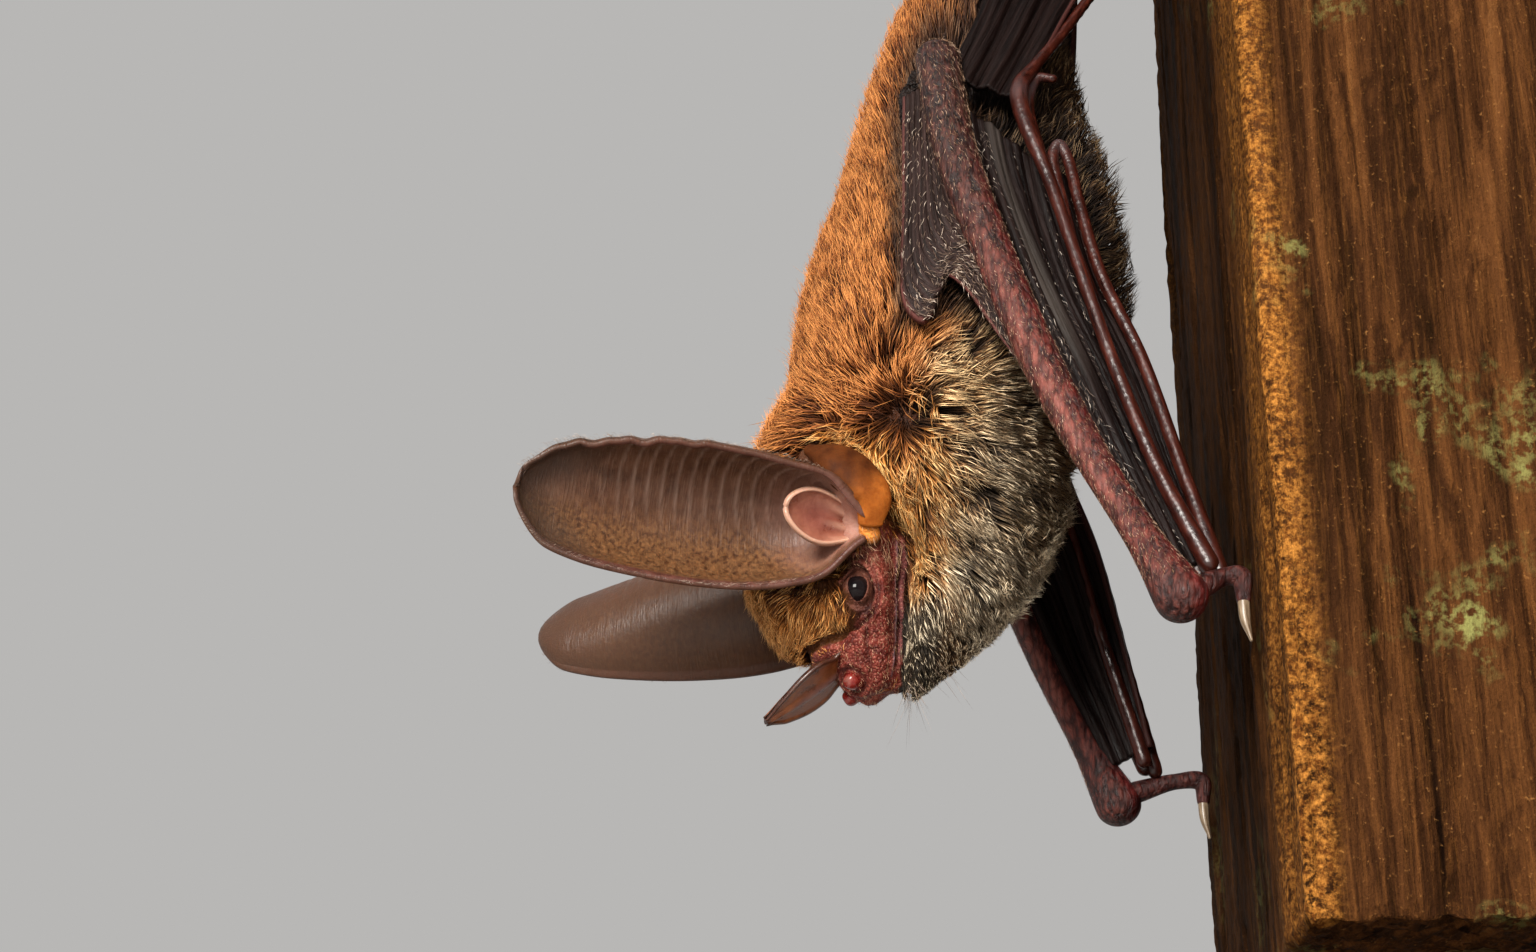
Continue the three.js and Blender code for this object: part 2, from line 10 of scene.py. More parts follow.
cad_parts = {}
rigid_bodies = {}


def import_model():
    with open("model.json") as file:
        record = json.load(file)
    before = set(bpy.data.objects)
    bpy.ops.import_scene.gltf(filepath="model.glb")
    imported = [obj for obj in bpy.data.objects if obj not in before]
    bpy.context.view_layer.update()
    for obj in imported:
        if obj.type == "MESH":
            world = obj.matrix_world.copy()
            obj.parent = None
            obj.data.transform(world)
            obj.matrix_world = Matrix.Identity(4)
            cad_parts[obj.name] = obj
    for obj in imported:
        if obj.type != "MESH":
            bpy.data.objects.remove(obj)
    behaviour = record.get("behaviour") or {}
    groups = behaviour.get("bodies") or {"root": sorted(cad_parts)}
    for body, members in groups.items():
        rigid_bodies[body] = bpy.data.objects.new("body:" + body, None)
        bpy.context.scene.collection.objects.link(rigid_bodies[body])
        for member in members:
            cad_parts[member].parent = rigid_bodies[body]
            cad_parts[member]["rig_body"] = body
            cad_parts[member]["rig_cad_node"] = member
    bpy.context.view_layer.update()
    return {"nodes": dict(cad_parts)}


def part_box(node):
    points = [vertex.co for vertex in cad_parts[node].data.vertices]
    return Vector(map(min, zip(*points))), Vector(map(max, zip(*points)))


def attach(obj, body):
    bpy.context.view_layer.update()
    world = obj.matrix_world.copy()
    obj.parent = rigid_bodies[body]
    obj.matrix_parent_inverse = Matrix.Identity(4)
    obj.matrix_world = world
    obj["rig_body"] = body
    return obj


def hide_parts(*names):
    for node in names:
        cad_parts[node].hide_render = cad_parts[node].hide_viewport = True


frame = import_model()
bpy.ops.object.select_all(action="DESELECT")
draw = np.random.default_rng(7)
print("frame loaded")

# The bat has a frame of its own, in millimetres: +X from its back to the beam, -Z to its head, -Y to its
# left. It hangs a little aslant, so the frame is found again from where the two eyes are.
eyeball = {"node": (6.5, -4.45, -11.6), "place": (6.35, -4.5, -12.1), "radius": 1.12, "bulge": 0.12}


def centreOf(node):
    low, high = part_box(node)
    return (low + high) / 2


acrossEyes = centreOf("eye_left") - centreOf("eye_right")
lean = math.atan2(-acrossEyes.z, -acrossEyes.y)
batFrame = (
    Matrix.Translation((centreOf("eye_left") + centreOf("eye_right")) / 2)
    @ Matrix.Rotation(lean, 4, "X")
    @ Matrix.Scale(0.001, 4)
    @ Matrix.Translation((-eyeball["node"][0], 0, -eyeball["node"][2]))
)
frameTurn = np.array(batFrame.to_3x3())
frameMove = np.array(batFrame.translation)


def toPart(points):
    return points @ frameTurn.T + frameMove


def toBat(points):
    return (points - frameMove) @ np.linalg.inv(frameTurn).T


# ---- small helpers ----


def unit(vectors):
    return vectors / np.maximum(np.linalg.norm(vectors, axis=-1, keepdims=True), 1e-9)


def ease(low, high, x):  # 0 below low, 1 above high, smooth between
    t = np.clip((x - low) / (high - low), 0, 1)
    return t * t * (3 - 2 * t)


def hump(x, centre, width):
    return np.exp(-(((x - centre) / width) ** 2))


def along(values, t):  # a value that runs smoothly through evenly spaced stations
    values = np.atleast_1d(np.array(values, float))
    if len(values) == 1:
        return np.full_like(np.asarray(t, float), values[0])
    s = np.clip(t, 0, 1) * (len(values) - 1)
    i = np.minimum(np.floor(s).astype(int), len(values) - 2)
    f = s - i
    a, b, c, d = (values[np.clip(i + k, 0, len(values) - 1)] for k in (-1, 0, 1, 2))
    return b + 0.5 * f * (c - a + f * (2 * a - 5 * b + 4 * c - d + f * (3 * (b - c) + d - a)))


def smoothLine(points, t):  # a smooth curve through points, which bends least where they are close
    p = np.array(points, float)
    s = np.clip(t, 0, 1) * (len(p) - 1)
    i = np.minimum(np.floor(s).astype(int), len(p) - 2)
    f = (s - i)[:, None]
    padded = np.vstack([2 * p[0] - p[1], p, 2 * p[-1] - p[-2]])
    a, b, c, d = (padded[i + k] for k in range(4))
    gapA, gapB, gapC = (
        np.sqrt(np.linalg.norm(q - r, axis=1, keepdims=True)) for q, r in ((b, a), (c, b), (d, c))
    )
    leave = gapB * ((b - a) / gapA - (c - a) / (gapA + gapB) + (c - b) / gapB)
    arrive = gapB * ((c - b) / gapB - (d - b) / (gapB + gapC) + (d - c) / gapC)
    return b + leave * f + (3 * (c - b) - 2 * leave - arrive) * f**2 + (2 * (b - c) + leave + arrive) * f**3


def waves(points, size, seed, octaves=3):  # smooth lumps of about that size, from -1 to 1
    spin = np.random.default_rng(seed)
    total = np.zeros(len(points))
    for octave in range(octaves):
        for _ in range(5):
            heading = unit(spin.normal(size=3)) * 2 * math.pi * 2**octave / size
            total += np.sin(points @ heading + spin.uniform(0, 2 * math.pi)) / 2**octave
    return total / 4


def nearPath(points, path):  # distance from a path through a few places
    path = np.array(path, float)
    best = np.full(len(points), 99.0)
    for a, b in zip(path[:-1], path[1:]):
        t = np.clip((points - a) @ (b - a) / ((b - a) @ (b - a)), 0, 1)
        best = np.minimum(best, np.linalg.norm(points - a - t[:, None] * (b - a), axis=1))
    return best


def wayAlong(line, t, step=1e-3):  # the unit direction of a smooth line
    return unit(smoothLine(line, np.minimum(t + step, 1)) - smoothLine(line, np.maximum(t - step, 0)))


def slopes(surface, u, v, step=1e-3):  # how a surface runs along u and along v
    alongU = surface(np.minimum(u + step, 1), v) - surface(np.maximum(u - step, 0), v)
    alongV = surface(u, np.minimum(v + step, 1)) - surface(u, np.maximum(v - step, 0))
    return alongU, alongV


def getPoints(piece):
    points = np.zeros(len(piece.data.vertices) * 3)
    piece.data.vertices.foreach_get("co", points)
    return points.reshape(-1, 3)


def setPoints(piece, points):
    piece.data.vertices.foreach_set("co", np.asarray(points, np.float32).ravel())
    piece.data.update()


def getNormals(piece):
    normals = np.zeros(len(piece.data.vertices) * 3)
    piece.data.vertex_normals.foreach_get("vector", normals)
    return normals.reshape(-1, 3)


def batNormals(piece):
    return unit(getNormals(piece) @ frameTurn)


def setMask(piece, name, values):
    mask = piece.data.attributes.get(name) or piece.data.attributes.new(name, "FLOAT", "POINT")
    mask.data.foreach_set("value", np.asarray(values, np.float32))


def setEven(piece, **masks):  # masks that are the same all over
    for name, value in masks.items():
        setMask(piece, name, np.full(len(piece.data.vertices), float(value)))


def only(piece):
    bpy.ops.object.select_all(action="DESELECT")
    piece.select_set(True)
    bpy.context.view_layer.objects.active = piece


def modify(piece, kind, **settings):
    only(piece)
    modifier = piece.modifiers.new(kind.title(), kind)
    for name, value in settings.items():
        setattr(modifier, name, value)
    bpy.ops.object.modifier_apply(modifier=modifier.name)


def addPiece(name, operator, **settings):  # a new object, with nothing else selected
    bpy.ops.object.select_all(action="DESELECT")
    operator(**settings)
    piece = bpy.context.object
    piece.name = name
    return piece


def looseCopy(node, name):  # a merged copy of a solid, free of the frame
    copy = frame["nodes"][node].copy()
    copy.data = frame["nodes"][node].data.copy()
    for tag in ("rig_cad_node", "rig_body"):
        if tag in copy:
            del copy[tag]
    copy.parent = None
    copy.name = name
    bpy.context.collection.objects.link(copy)
    outward(copy)
    return copy


def swell(piece, distance):  # move the whole surface out by millimetres
    setPoints(piece, getPoints(piece) + getNormals(piece) * distance * 0.001)


def joinInto(target, pieces):
    bpy.ops.object.select_all(action="DESELECT")
    for piece in pieces:
        piece.select_set(True)
    target.select_set(True)
    bpy.context.view_layer.objects.active = target
    bpy.ops.object.join()


def pick(piece, kind, chosen):  # select some faces or edges, ready to be edited
    only(piece)
    bpy.ops.object.mode_set(mode="EDIT")
    bpy.ops.mesh.select_mode(type=kind)
    bpy.ops.mesh.select_all(action="DESELECT")
    bpy.ops.object.mode_set(mode="OBJECT")
    parts = piece.data.polygons if kind == "FACE" else piece.data.edges
    parts.foreach_set("select", chosen)
    bpy.ops.object.mode_set(mode="EDIT")


def outward(piece):
    only(piece)
    bpy.ops.object.mode_set(mode="EDIT")
    bpy.ops.mesh.select_all(action="SELECT")
    bpy.ops.mesh.remove_doubles(threshold=1e-7)
    bpy.ops.mesh.normals_make_consistent(inside=False)
    bpy.ops.object.mode_set(mode="OBJECT")


def finishPiece(piece, material, nodes=()):
    only(piece)
    bpy.ops.object.shade_smooth()
    piece.data.materials.clear()
    piece.data.materials.append(material)
    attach(piece, "root")
    if nodes:
        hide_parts(*nodes)
    return piece


def mirrored(piece, name):  # a copy for the bat's other side
    only(piece)
    bpy.ops.object.duplicate()
    twin = bpy.context.object
    twin.name = name
    points = toBat(getPoints(twin))
    points[:, 1] *= -1
    setPoints(twin, toPart(points))
    bpy.ops.object.mode_set(mode="EDIT")
    bpy.ops.mesh.select_all(action="SELECT")
    bpy.ops.mesh.flip_normals()
    bpy.ops.object.mode_set(mode="OBJECT")
    return twin


def finishPair(left, material, node=None):  # the left piece and its mirrored twin
    right = mirrored(left, left.name.replace("_left", "_right"))
    for piece, side in ((left, "left"), (right, "right")):
        finishPiece(piece, material, [node + "_" + side] if node else ())


def drawOut(name, line, deep, wide=None, sides=20, rings=60, relief=None, caps=4):
    # A sphere drawn out along a line. Its own UV map runs round it and along it.
    piece = addPiece(name, bpy.ops.mesh.primitive_uv_sphere_add, segments=sides, ring_count=rings, radius=1)
    ball = getPoints(piece)
    ring = np.round((np.arcsin(np.clip(ball[:, 2], -1, 1)) / math.pi + 0.5) * rings)
    angle = np.arctan2(ball[:, 1], ball[:, 0])
    t = np.clip((ring - caps) / (rings - 2 * caps), 0, 1)
    over = np.clip(ring - (rings - caps), 0, None) - np.clip(caps - ring, 0, None)
    turn = over / caps * math.pi / 2
    middle = smoothLine(line, t)
    forward = wayAlong(line, t)
    up = unit(np.cross(forward, [0, 1, 0]))
    side = np.cross(up, forward)
    depth = along(deep, t)
    width = depth if wide is None else along(wide, t)
    extra = relief(t, angle) if relief else 0
    shrink = np.cos(turn)
    points = middle + forward * (np.minimum(depth, width) * np.sin(turn))[:, None]
    points += side * ((width + extra) * shrink * np.cos(angle))[:, None]
    points += up * ((depth + extra) * shrink * np.sin(angle))[:, None]
    setPoints(piece, toPart(points))
    outward(piece)
    return piece


def spread(name, surface, columns, rows, thick, relief):
    # A grid spread over surface(u, v), then given its thickness. Its own UV map is u and v.
    piece = addPiece(
        name, bpy.ops.mesh.primitive_grid_add, x_subdivisions=columns, y_subdivisions=rows, size=1
    )
    flat = getPoints(piece)
    u, v = flat[:, 0] + 0.5, flat[:, 1] + 0.5
    points = surface(u, v) + unit(np.cross(*slopes(surface, u, v))) * relief(u, v)[:, None]
    body = thick(u, v) if callable(thick) else np.full(len(u), thick)
    setPoints(piece, toPart(points))
    group = piece.vertex_groups.new(name="thick")
    most = float(body.max())
    for index, share in enumerate(body / most):
        group.add([index], float(share), "REPLACE")
    thinnest = 0.05
    modify(
        piece,
        "SOLIDIFY",
        thickness=most * 0.001,
        offset=0,
        vertex_group="thick",
        thickness_vertex_group=thinnest,
    )
    outward(piece)
    return piece


def getCorners(piece):  # the vertex of each face corner, and its place on the UV map
    corner = np.zeros(len(piece.data.loops), int)
    piece.data.loops.foreach_get("vertex_index", corner)
    uv = np.zeros(len(piece.data.loops) * 2)
    piece.data.uv_layers[0].data.foreach_get("uv", uv)
    return corner, uv.reshape(-1, 2)


def placeOnGrid(piece):  # each point's u and v
    corner, uv = getCorners(piece)
    place = np.zeros((len(piece.data.vertices), 2))
    place[corner] = uv
    return place.T


print("helpers ready")

# ---- materials ----


class Paint:  # a material and short ways to add its nodes
    def __init__(self, name, roughness, specular=0.5, soft=None, **sockets):
        # soft is the share of light that goes under the skin, then how far red, green and blue go in mm.
        self.material = bpy.data.materials.new(name)
        self.material.use_nodes = True
        self.tree = self.material.node_tree
        self.shader = self.tree.nodes["Principled BSDF"]
        self.shader.inputs["Roughness"].default_value = roughness
        self.shader.inputs["Specular IOR Level"].default_value = specular
        if soft:
            self.shader.inputs["Subsurface Weight"].default_value = soft[0]
            self.shader.inputs["Subsurface Radius"].default_value = [reach * 0.001 for reach in soft[1:]]
        for socket, value in sockets.items():
            self.shader.inputs[socket.replace("_", " ")].default_value = value
        self.place = self.tree.nodes.new("ShaderNodeTexCoord").outputs["Object"]

    def node(self, kind, **settings):
        made = self.tree.nodes.new(kind)
        for name, value in settings.items():
            setattr(made, name, value)
        return made

    def link(self, out, into):
        self.tree.links.new(out, into)

    def feed(self, socket, value):
        if hasattr(value, "is_linked"):
            self.link(value, socket)
        elif value is not None:
            socket.default_value = value

    def stretched(self, stretch, place=None):
        mapping = self.node("ShaderNodeMapping")
        self.link(place or self.place, mapping.inputs["Vector"])
        mapping.inputs["Scale"].default_value = stretch
        return mapping.outputs["Vector"]

    def uv(self, alongU, alongV):
        place = self.tree.nodes["Texture Coordinate"].outputs["UV"]
        return self.stretched((alongU, alongV, 1), place)

    def mask(self, name):
        return self.node("ShaderNodeAttribute", attribute_name=name).outputs["Fac"]

    def noise(self, scale, detail=4, rough=0.6, vector=None, warp=0):
        made = self.node("ShaderNodeTexNoise")
        self.feed(made.inputs["Vector"], vector or self.place)
        made.inputs["Scale"].default_value = scale
        made.inputs["Detail"].default_value = detail
        made.inputs["Roughness"].default_value = rough
        made.inputs["Distortion"].default_value = warp
        return made.outputs["Fac"]

    def cells(self, scale, vector=None):
        made = self.node("ShaderNodeTexVoronoi", feature="F1")
        self.feed(made.inputs["Vector"], vector or self.place)
        made.inputs["Scale"].default_value = scale
        return made.outputs["Distance"]

    def ramp(self, value, *stops):
        made = self.node("ShaderNodeValToRGB")
        self.link(value, made.inputs["Fac"])
        elements = made.color_ramp.elements
        while len(elements) < len(stops):
            elements.new(0.5)
        for element, (at, colour) in zip(elements, stops):
            element.position = at
            element.color = (*colour, 1)
        return made.outputs["Color"]

    def grey(self, value, low, high, bottom=0.0, top=1.0):
        made = self.node("ShaderNodeMapRange")
        self.feed(made.inputs["Value"], value)
        for name, number in (("From Min", low), ("From Max", high), ("To Min", bottom), ("To Max", top)):
            made.inputs[name].default_value = number
        return made.outputs["Result"]

    def mix(self, share, first, second, blend="MIX"):
        made = self.node("ShaderNodeMix", data_type="RGBA", blend_type=blend)
        self.feed(made.inputs["Factor"], share)
        self.feed(made.inputs[6], (*first, 1) if isinstance(first, tuple) else first)
        self.feed(made.inputs[7], (*second, 1) if isinstance(second, tuple) else second)
        return made.outputs[2]

    def sum(self, operation, first, second):
        made = self.node("ShaderNodeMath", operation=operation)
        self.feed(made.inputs[0], first)
        self.feed(made.inputs[1], second)
        return made.outputs[0]

    def colour(self, value):
        self.link(value, self.shader.inputs["Base Color"])

    def roughness(self, value):
        self.link(value, self.shader.inputs["Roughness"])

    def bump(self, *layers):  # (height, depth in mm) pairs, one over the other
        normal = None
        for height, depth in layers:
            made = self.node("ShaderNodeBump")
            made.inputs["Distance"].default_value = depth * 0.001
            self.link(height, made.inputs["Height"])
            if normal:
                self.link(normal, made.inputs["Normal"])
            normal = made.outputs["Normal"]
        self.link(normal, self.shader.inputs["Normal"])

    def finish(self, colour, height, smooth, rough, *layers):
        # The colour, a roughness that varies with a height, and the bump.
        self.colour(colour)
        self.roughness(self.grey(height, 0.3, 0.7, smooth, rough))
        self.bump(*layers)
        return self.material


coatTones = {  # for each marking, how the colour of a hair runs from its root, 0, to its tip, 1
    "rufous": (
        (0.0, (0.010, 0.004, 0.002)), (0.50, (0.085, 0.024, 0.006)), (0.68, (0.26, 0.078, 0.016)),
        (0.86, (0.66, 0.265, 0.075)),
    ),
    "pale": (
        (0.0, (0.008, 0.005, 0.004)), (0.60, (0.050, 0.025, 0.011)), (0.74, (0.29, 0.145, 0.054)),
        (0.84, (0.98, 0.68, 0.36)),
    ),
    "ash": (
        (0.0, (0.006, 0.005, 0.004)), (0.60, (0.046, 0.034, 0.023)), (0.74, (0.24, 0.175, 0.105)),
        (0.84, (1.0, 0.85, 0.62)),
    ),
    "gold": (
        (0.0, (0.040, 0.012, 0.004)), (0.50, (0.17, 0.055, 0.012)), (0.70, (0.56, 0.215, 0.038)),
        (0.84, (1.0, 0.60, 0.22)),
    ),
    # painted shade: dark fur on the belly and on the flanks under the wings
    "shadedFur": (
        (0.0, (0.004, 0.003, 0.003)), (0.76, (0.012, 0.007, 0.005)), (0.86, (0.050, 0.028, 0.018)),
        (1.0, (0.20, 0.13, 0.085)),
    ),
}


def coatColour(paint, tip):
    # The coat's colours by place, for skin and hair alike: rufous, with each marking laid over it.
    colour = paint.ramp(tip, *coatTones["rufous"])
    for marking in ("pale", "ash", "gold", "shadedFur"):
        colour = paint.mix(paint.mask(marking), colour, paint.ramp(tip, *coatTones[marking]))
    patches = paint.ramp(paint.noise(420, 3, 0.5), (0.35, (0.84, 0.80, 0.76)), (0.65, (1.0, 1.0, 1.0)))
    return paint.mix(1.0, colour, patches, "MULTIPLY")


def paintCoat():
    paint = Paint("coatHair", 0.62, 0.2)
    tip = paint.sum("ADD", paint.mask("tip"), paint.grey(paint.mask("tone"), 0, 1, -0.22, 0.16))
    return paint.finish(
        coatColour(paint, tip), paint.noise(900, 2), 0.5, 0.72, (paint.noise(9000, 2), 0.02)
    )


def paintSkin():
    # Dark under the coat, a painted shade. The bare face is raw flesh with painted glints on its pebbles,
    # brown lids, and painted shade in the mouth and creases.
    paint = Paint("bareSkin", 0.5, 0.15, (0.08, 1.0, 0.3, 0.2))
    # painted shade: the skin under the coat is dark, so gaps in the coat read as shadow
    under = coatColour(paint, paint.grey(paint.noise(2500, 4), 0.2, 0.9, 0.05, 0.35))
    mottle = paint.noise(900, 5, 0.65)
    pebbles = paint.cells(5200)
    flesh = paint.ramp(
        mottle,
        (0.34, (0.040, 0.006, 0.004)), (0.5, (0.17, 0.028, 0.018)), (0.70, (0.42, 0.125, 0.085)),
    )
    # painted highlights: pale pink glints on the pebbles of the bare skin
    glints = paint.ramp(pebbles, (0.0, (0.66, 0.27, 0.205)), (0.45, (0.070, 0.009, 0.006)))
    flesh = paint.mix(0.42, flesh, glints)
    brown = paint.ramp(mottle, (0.3, (0.026, 0.008, 0.005)), (0.7, (0.15, 0.054, 0.034)))
    flesh = paint.mix(paint.mask("lid"), flesh, brown)
    flesh = paint.mix(paint.mask("lip"), flesh, (0.40, 0.28, 0.31))
    # painted shade: near black in the mouth slit and the grooves round the eye, muzzle and nostril
    flesh = paint.mix(paint.mask("crease"), flesh, (0.010, 0.002, 0.002))
    flesh = paint.mix(paint.mask("nostril"), flesh, (0.13, 0.008, 0.005))
    orange = paint.ramp(paint.mask("orange"), (0.45, (0.075, 0.026, 0.010)), (1.0, (0.62, 0.215, 0.040)))
    flesh = paint.mix(paint.grey(paint.mask("orange"), 0.05, 0.3), flesh, orange)
    shade = paint.ramp(paint.noise(420, 3, 0.5), (0.36, (0.58, 0.48, 0.46)), (0.56, (1.0, 1.0, 1.0)))
    flesh = paint.mix(1.0, flesh, shade, "MULTIPLY")
    paint.colour(paint.mix(paint.mask("bare"), under, flesh))
    wet = paint.grey(paint.mask("nostril"), 0, 1, 0.46, 0.16)
    paint.roughness(paint.sum("MULTIPLY", wet, paint.grey(mottle, 0.3, 0.7, 0.85, 1.25)))
    paint.bump((pebbles, 0.10), (paint.noise(2600, 5, 0.6), 0.10), (paint.noise(12000, 2), 0.03))
    return paint.material


def paintArm():
    # Wrinkled skin: brown at the elbow, brownish red below it, with painted shade in its creases and a
    # painted highlight along the outer edge.
    paint = Paint("armSkin", 0.42, 0.28, (0.08, 0.8, 0.2, 0.2))
    wrinkles = paint.noise(1, 6, 0.65, paint.stretched((2100, 2100, 700)), warp=1.4)
    mottle = paint.noise(300, 4)
    red = paint.ramp(
        mottle,
        (0.3, (0.0224, 0.0028, 0.0028)), (0.5, (0.0544, 0.0072, 0.0064)), (0.7, (0.1, 0.02, 0.016)),
    )
    lines = paint.ramp(wrinkles, (0.40, (0.0072, 0.0012, 0.0012)), (0.60, (0.19, 0.044, 0.030)))
    colour = paint.mix(0.62, red, lines)
    # painted shade: the network of creases in the skin is darkened
    net = paint.cells(1, paint.stretched((2100, 2100, 900)))
    creases = paint.ramp(net, (0.30, (1.0, 1.0, 1.0)), (0.75, (0.288, 0.208, 0.208)))
    # painted highlight: lighter along the arm's outer edge
    colour = paint.mix(paint.mask("glow"), colour, (0.36, 0.115, 0.085))
    brown = paint.ramp(wrinkles, (0.40, (0.0056, 0.002, 0.0016)), (0.62, (0.064, 0.0232, 0.0168)))
    colour = paint.mix(paint.mask("brown"), colour, brown)
    deep = paint.ramp(mottle, (0.3, (0.04, 0.0032, 0.0032)), (0.7, (0.116, 0.0104, 0.0088)))
    colour = paint.mix(paint.mask("red"), colour, deep)
    colour = paint.mix(1.0, colour, creases, "MULTIPLY")
    edges = paint.grey(net, 0.1, 0.8, 1, 0)
    return paint.finish(colour, wrinkles, 0.30, 0.60, (wrinkles, 0.22), (edges, 0.09))


def paintFinger():
    paint = Paint("fingerSkin", 0.36, 0.4, (0.06, 0.6, 0.2, 0.1))
    streaks = paint.noise(1, 4, 0.6, paint.uv(5, 26))
    glintDashes = paint.cells(1, paint.uv(7, 150))
    colour = paint.ramp(
        streaks,
        (0.3, (0.0064, 0.0012, 0.0008)), (0.55, (0.0304, 0.0048, 0.0024)),
        (0.75, (0.068, 0.012, 0.0056)),
    )
    # painted highlights: short pale glints along the finger
    colour = paint.mix(paint.grey(glintDashes, 0.12, 0.02, 0, 0.35), colour, (0.208, 0.088, 0.06))
    colour = paint.mix(paint.mask("knuckle"), colour, (0.048, 0.0288, 0.0288))
    return paint.finish(colour, streaks, 0.24, 0.46, (streaks, 0.06), (glintDashes, 0.03))


def paintWeb(name, dark, light, streaksAlong, streaksAcross):
    # Streaks run along u, the way the fibres of the web do. A smooth grey band lies by the fifth finger.
    paint = Paint(name, 0.45, 0.1)
    streaks = paint.noise(1, 5, 0.62, paint.uv(streaksAlong, streaksAcross), warp=0.3)
    fine = paint.noise(1, 3, 0.6, paint.uv(streaksAlong * 3, streaksAcross * 3.2))
    colour = paint.ramp(streaks, (0.32, dark), (0.68, light))
    brighter = tuple(min(1, 2.2 * c + 0.03) for c in light)
    colour = paint.mix(paint.grey(fine, 0.64, 0.76, 0, 0.3), colour, brighter)
    colour = paint.mix(paint.mask("band"), colour, (0.034, 0.027, 0.023))
    colour = paint.mix(paint.mask("hem"), colour, (0.080, 0.026, 0.022))
    return paint.finish(colour, streaks, 0.32, 0.58, (streaks, 0.16), (fine, 0.07))


def paintEar():
    # The inside of the ear: pale ribs across its rear part, golden down on the front part, darker rims.
    paint = Paint("earSkin", 0.40, 0.3, (0.22, 1.28, 0.56, 0.32))
    mottle = paint.noise(700, 5, 0.65)
    brown = paint.ramp(mottle, (0.3, (0.048, 0.0179, 0.00896)), (0.7, (0.122, 0.0544, 0.0301)))
    lines = paint.noise(1, 3, 0.6, paint.uv(150, 7), warp=0.6)
    brown = paint.mix(paint.grey(lines, 0.5, 0.7, 0, 0.45), brown, (0.192, 0.112, 0.0768))
    down = paint.noise(1, 4, 0.6, paint.uv(70, 34), warp=0.5)
    gold = paint.ramp(down, (0.35, (0.0384, 0.0141, 0.00576)), (0.7, (0.16, 0.0736, 0.0288)))
    colour = paint.mix(paint.mask("down"), brown, gold)
    colour = paint.mix(paint.mask("rib"), colour, (0.269, 0.179, 0.138))
    root = paint.ramp(mottle, (0.3, (0.218, 0.0896, 0.064)), (0.7, (0.333, 0.173, 0.131)))
    colour = paint.mix(paint.mask("root"), colour, root)
    rim = paint.ramp(mottle, (0.3, (0.0384, 0.0109, 0.00768)), (0.7, (0.118, 0.0422, 0.0307)))
    colour = paint.mix(paint.mask("rim"), colour, rim)
    colour = paint.mix(paint.mask("point"), colour, (0.0384, 0.023, 0.0166))
    colour = paint.mix(paint.mask("outside"), colour, (0.0544, 0.0218, 0.0102))
    return paint.finish(colour, mottle, 0.3, 0.52, (mottle, 0.05), (lines, 0.05), (down, 0.03))


def paintTragus():
    paint = Paint("tragusSkin", 0.34, soft=(0.25, 1.4, 0.6, 0.3))
    mottle = paint.noise(900, 5, 0.6)
    colour = paint.ramp(mottle, (0.3, (0.184, 0.0576, 0.0336)), (0.7, (0.32, 0.128, 0.0824)))
    hollow = paint.ramp(mottle, (0.3, (0.096, 0.02, 0.0128)), (0.7, (0.184, 0.052, 0.0344)))
    colour = paint.mix(paint.mask("hollow"), colour, hollow)
    colour = paint.mix(paint.mask("rim"), colour, (0.56, 0.352, 0.248))
    return paint.finish(colour, mottle, 0.24, 0.46, (mottle, 0.06), (paint.noise(6000, 3), 0.02))


def paintLobe():
    paint = Paint("lobeSkin", 0.6, 0.02, (0.2, 1.4, 0.5, 0.2))
    mottle = paint.noise(800, 5, 0.6)
    brown = paint.ramp(mottle, (0.3, (0.030, 0.008, 0.003)), (0.7, (0.085, 0.024, 0.006)))
    bright = paint.ramp(mottle, (0.3, (0.12, 0.026, 0.004)), (0.7, (0.34, 0.100, 0.016)))
    # painted shade: brown on the upper part of the lobe, orange below
    colour = paint.mix(paint.mask("orange"), brown, bright)
    return paint.finish(colour, mottle, 0.36, 0.55, (mottle, 0.06), (paint.noise(6000, 3), 0.02))


def paintLeaf():
    paint = Paint("noseLeafSkin", 0.33, soft=(0.2, 1.1, 0.4, 0.2))
    mottle = paint.noise(900, 5, 0.6)
    colour = paint.ramp(
        mottle,
        (0.3, (0.084, 0.0208, 0.0072)), (0.55, (0.176, 0.0496, 0.0144)), (0.75, (0.272, 0.092, 0.0304)),
    )
    colour = paint.mix(paint.mask("rim"), colour, (0.0208, 0.008, 0.0064))
    colour = paint.mix(paint.mask("fold"), colour, (0.16, 0.088, 0.088))
    return paint.finish(colour, mottle, 0.22, 0.44, (mottle, 0.06), (paint.noise(7000, 3), 0.02))


def paintEye():
    paint = Paint("eye", 0.05, 0.12, Coat_Weight=0.05, Coat_Roughness=0.02)
    cloud = paint.noise(900, 3)
    colour = paint.ramp(cloud, (0.3, (0.001, 0.001, 0.0015)), (0.75, (0.009, 0.005, 0.005)))
    return paint.finish(colour, cloud, 0.05, 0.1, (paint.noise(2500, 2), 0.002))


def paintBead():
    paint = Paint("noseBead", 0.12, 0.4, (0.1, 1.0, 0.3, 0.2))
    mottle = paint.noise(1300, 4, 0.6)
    colour = paint.ramp(
        mottle,
        (0.35, (0.095, 0.005, 0.004)), (0.5, (0.15, 0.014, 0.010)), (0.66, (0.17, 0.065, 0.052)),
    )
    return paint.finish(colour, mottle, 0.08, 0.22, (paint.noise(4000, 3), 0.01))


def paintBristle():  # the short hairs of the face, arms, ears and webs
    paint = Paint("bristle", 0.5)
    tone = paint.mask("tone")
    white = paint.ramp(
        tone, (0.0, (0.03, 0.02, 0.017)), (0.7, (0.13, 0.105, 0.09)), (1.0, (0.66, 0.60, 0.53))
    )
    golden = paint.ramp(tone, (0.0, (0.10, 0.035, 0.012)), (1.0, (0.66, 0.36, 0.18)))
    colour = paint.mix(paint.mask("gold"), white, golden)
    return paint.finish(colour, paint.noise(900, 2), 0.4, 0.6, (paint.noise(9000, 2), 0.02))


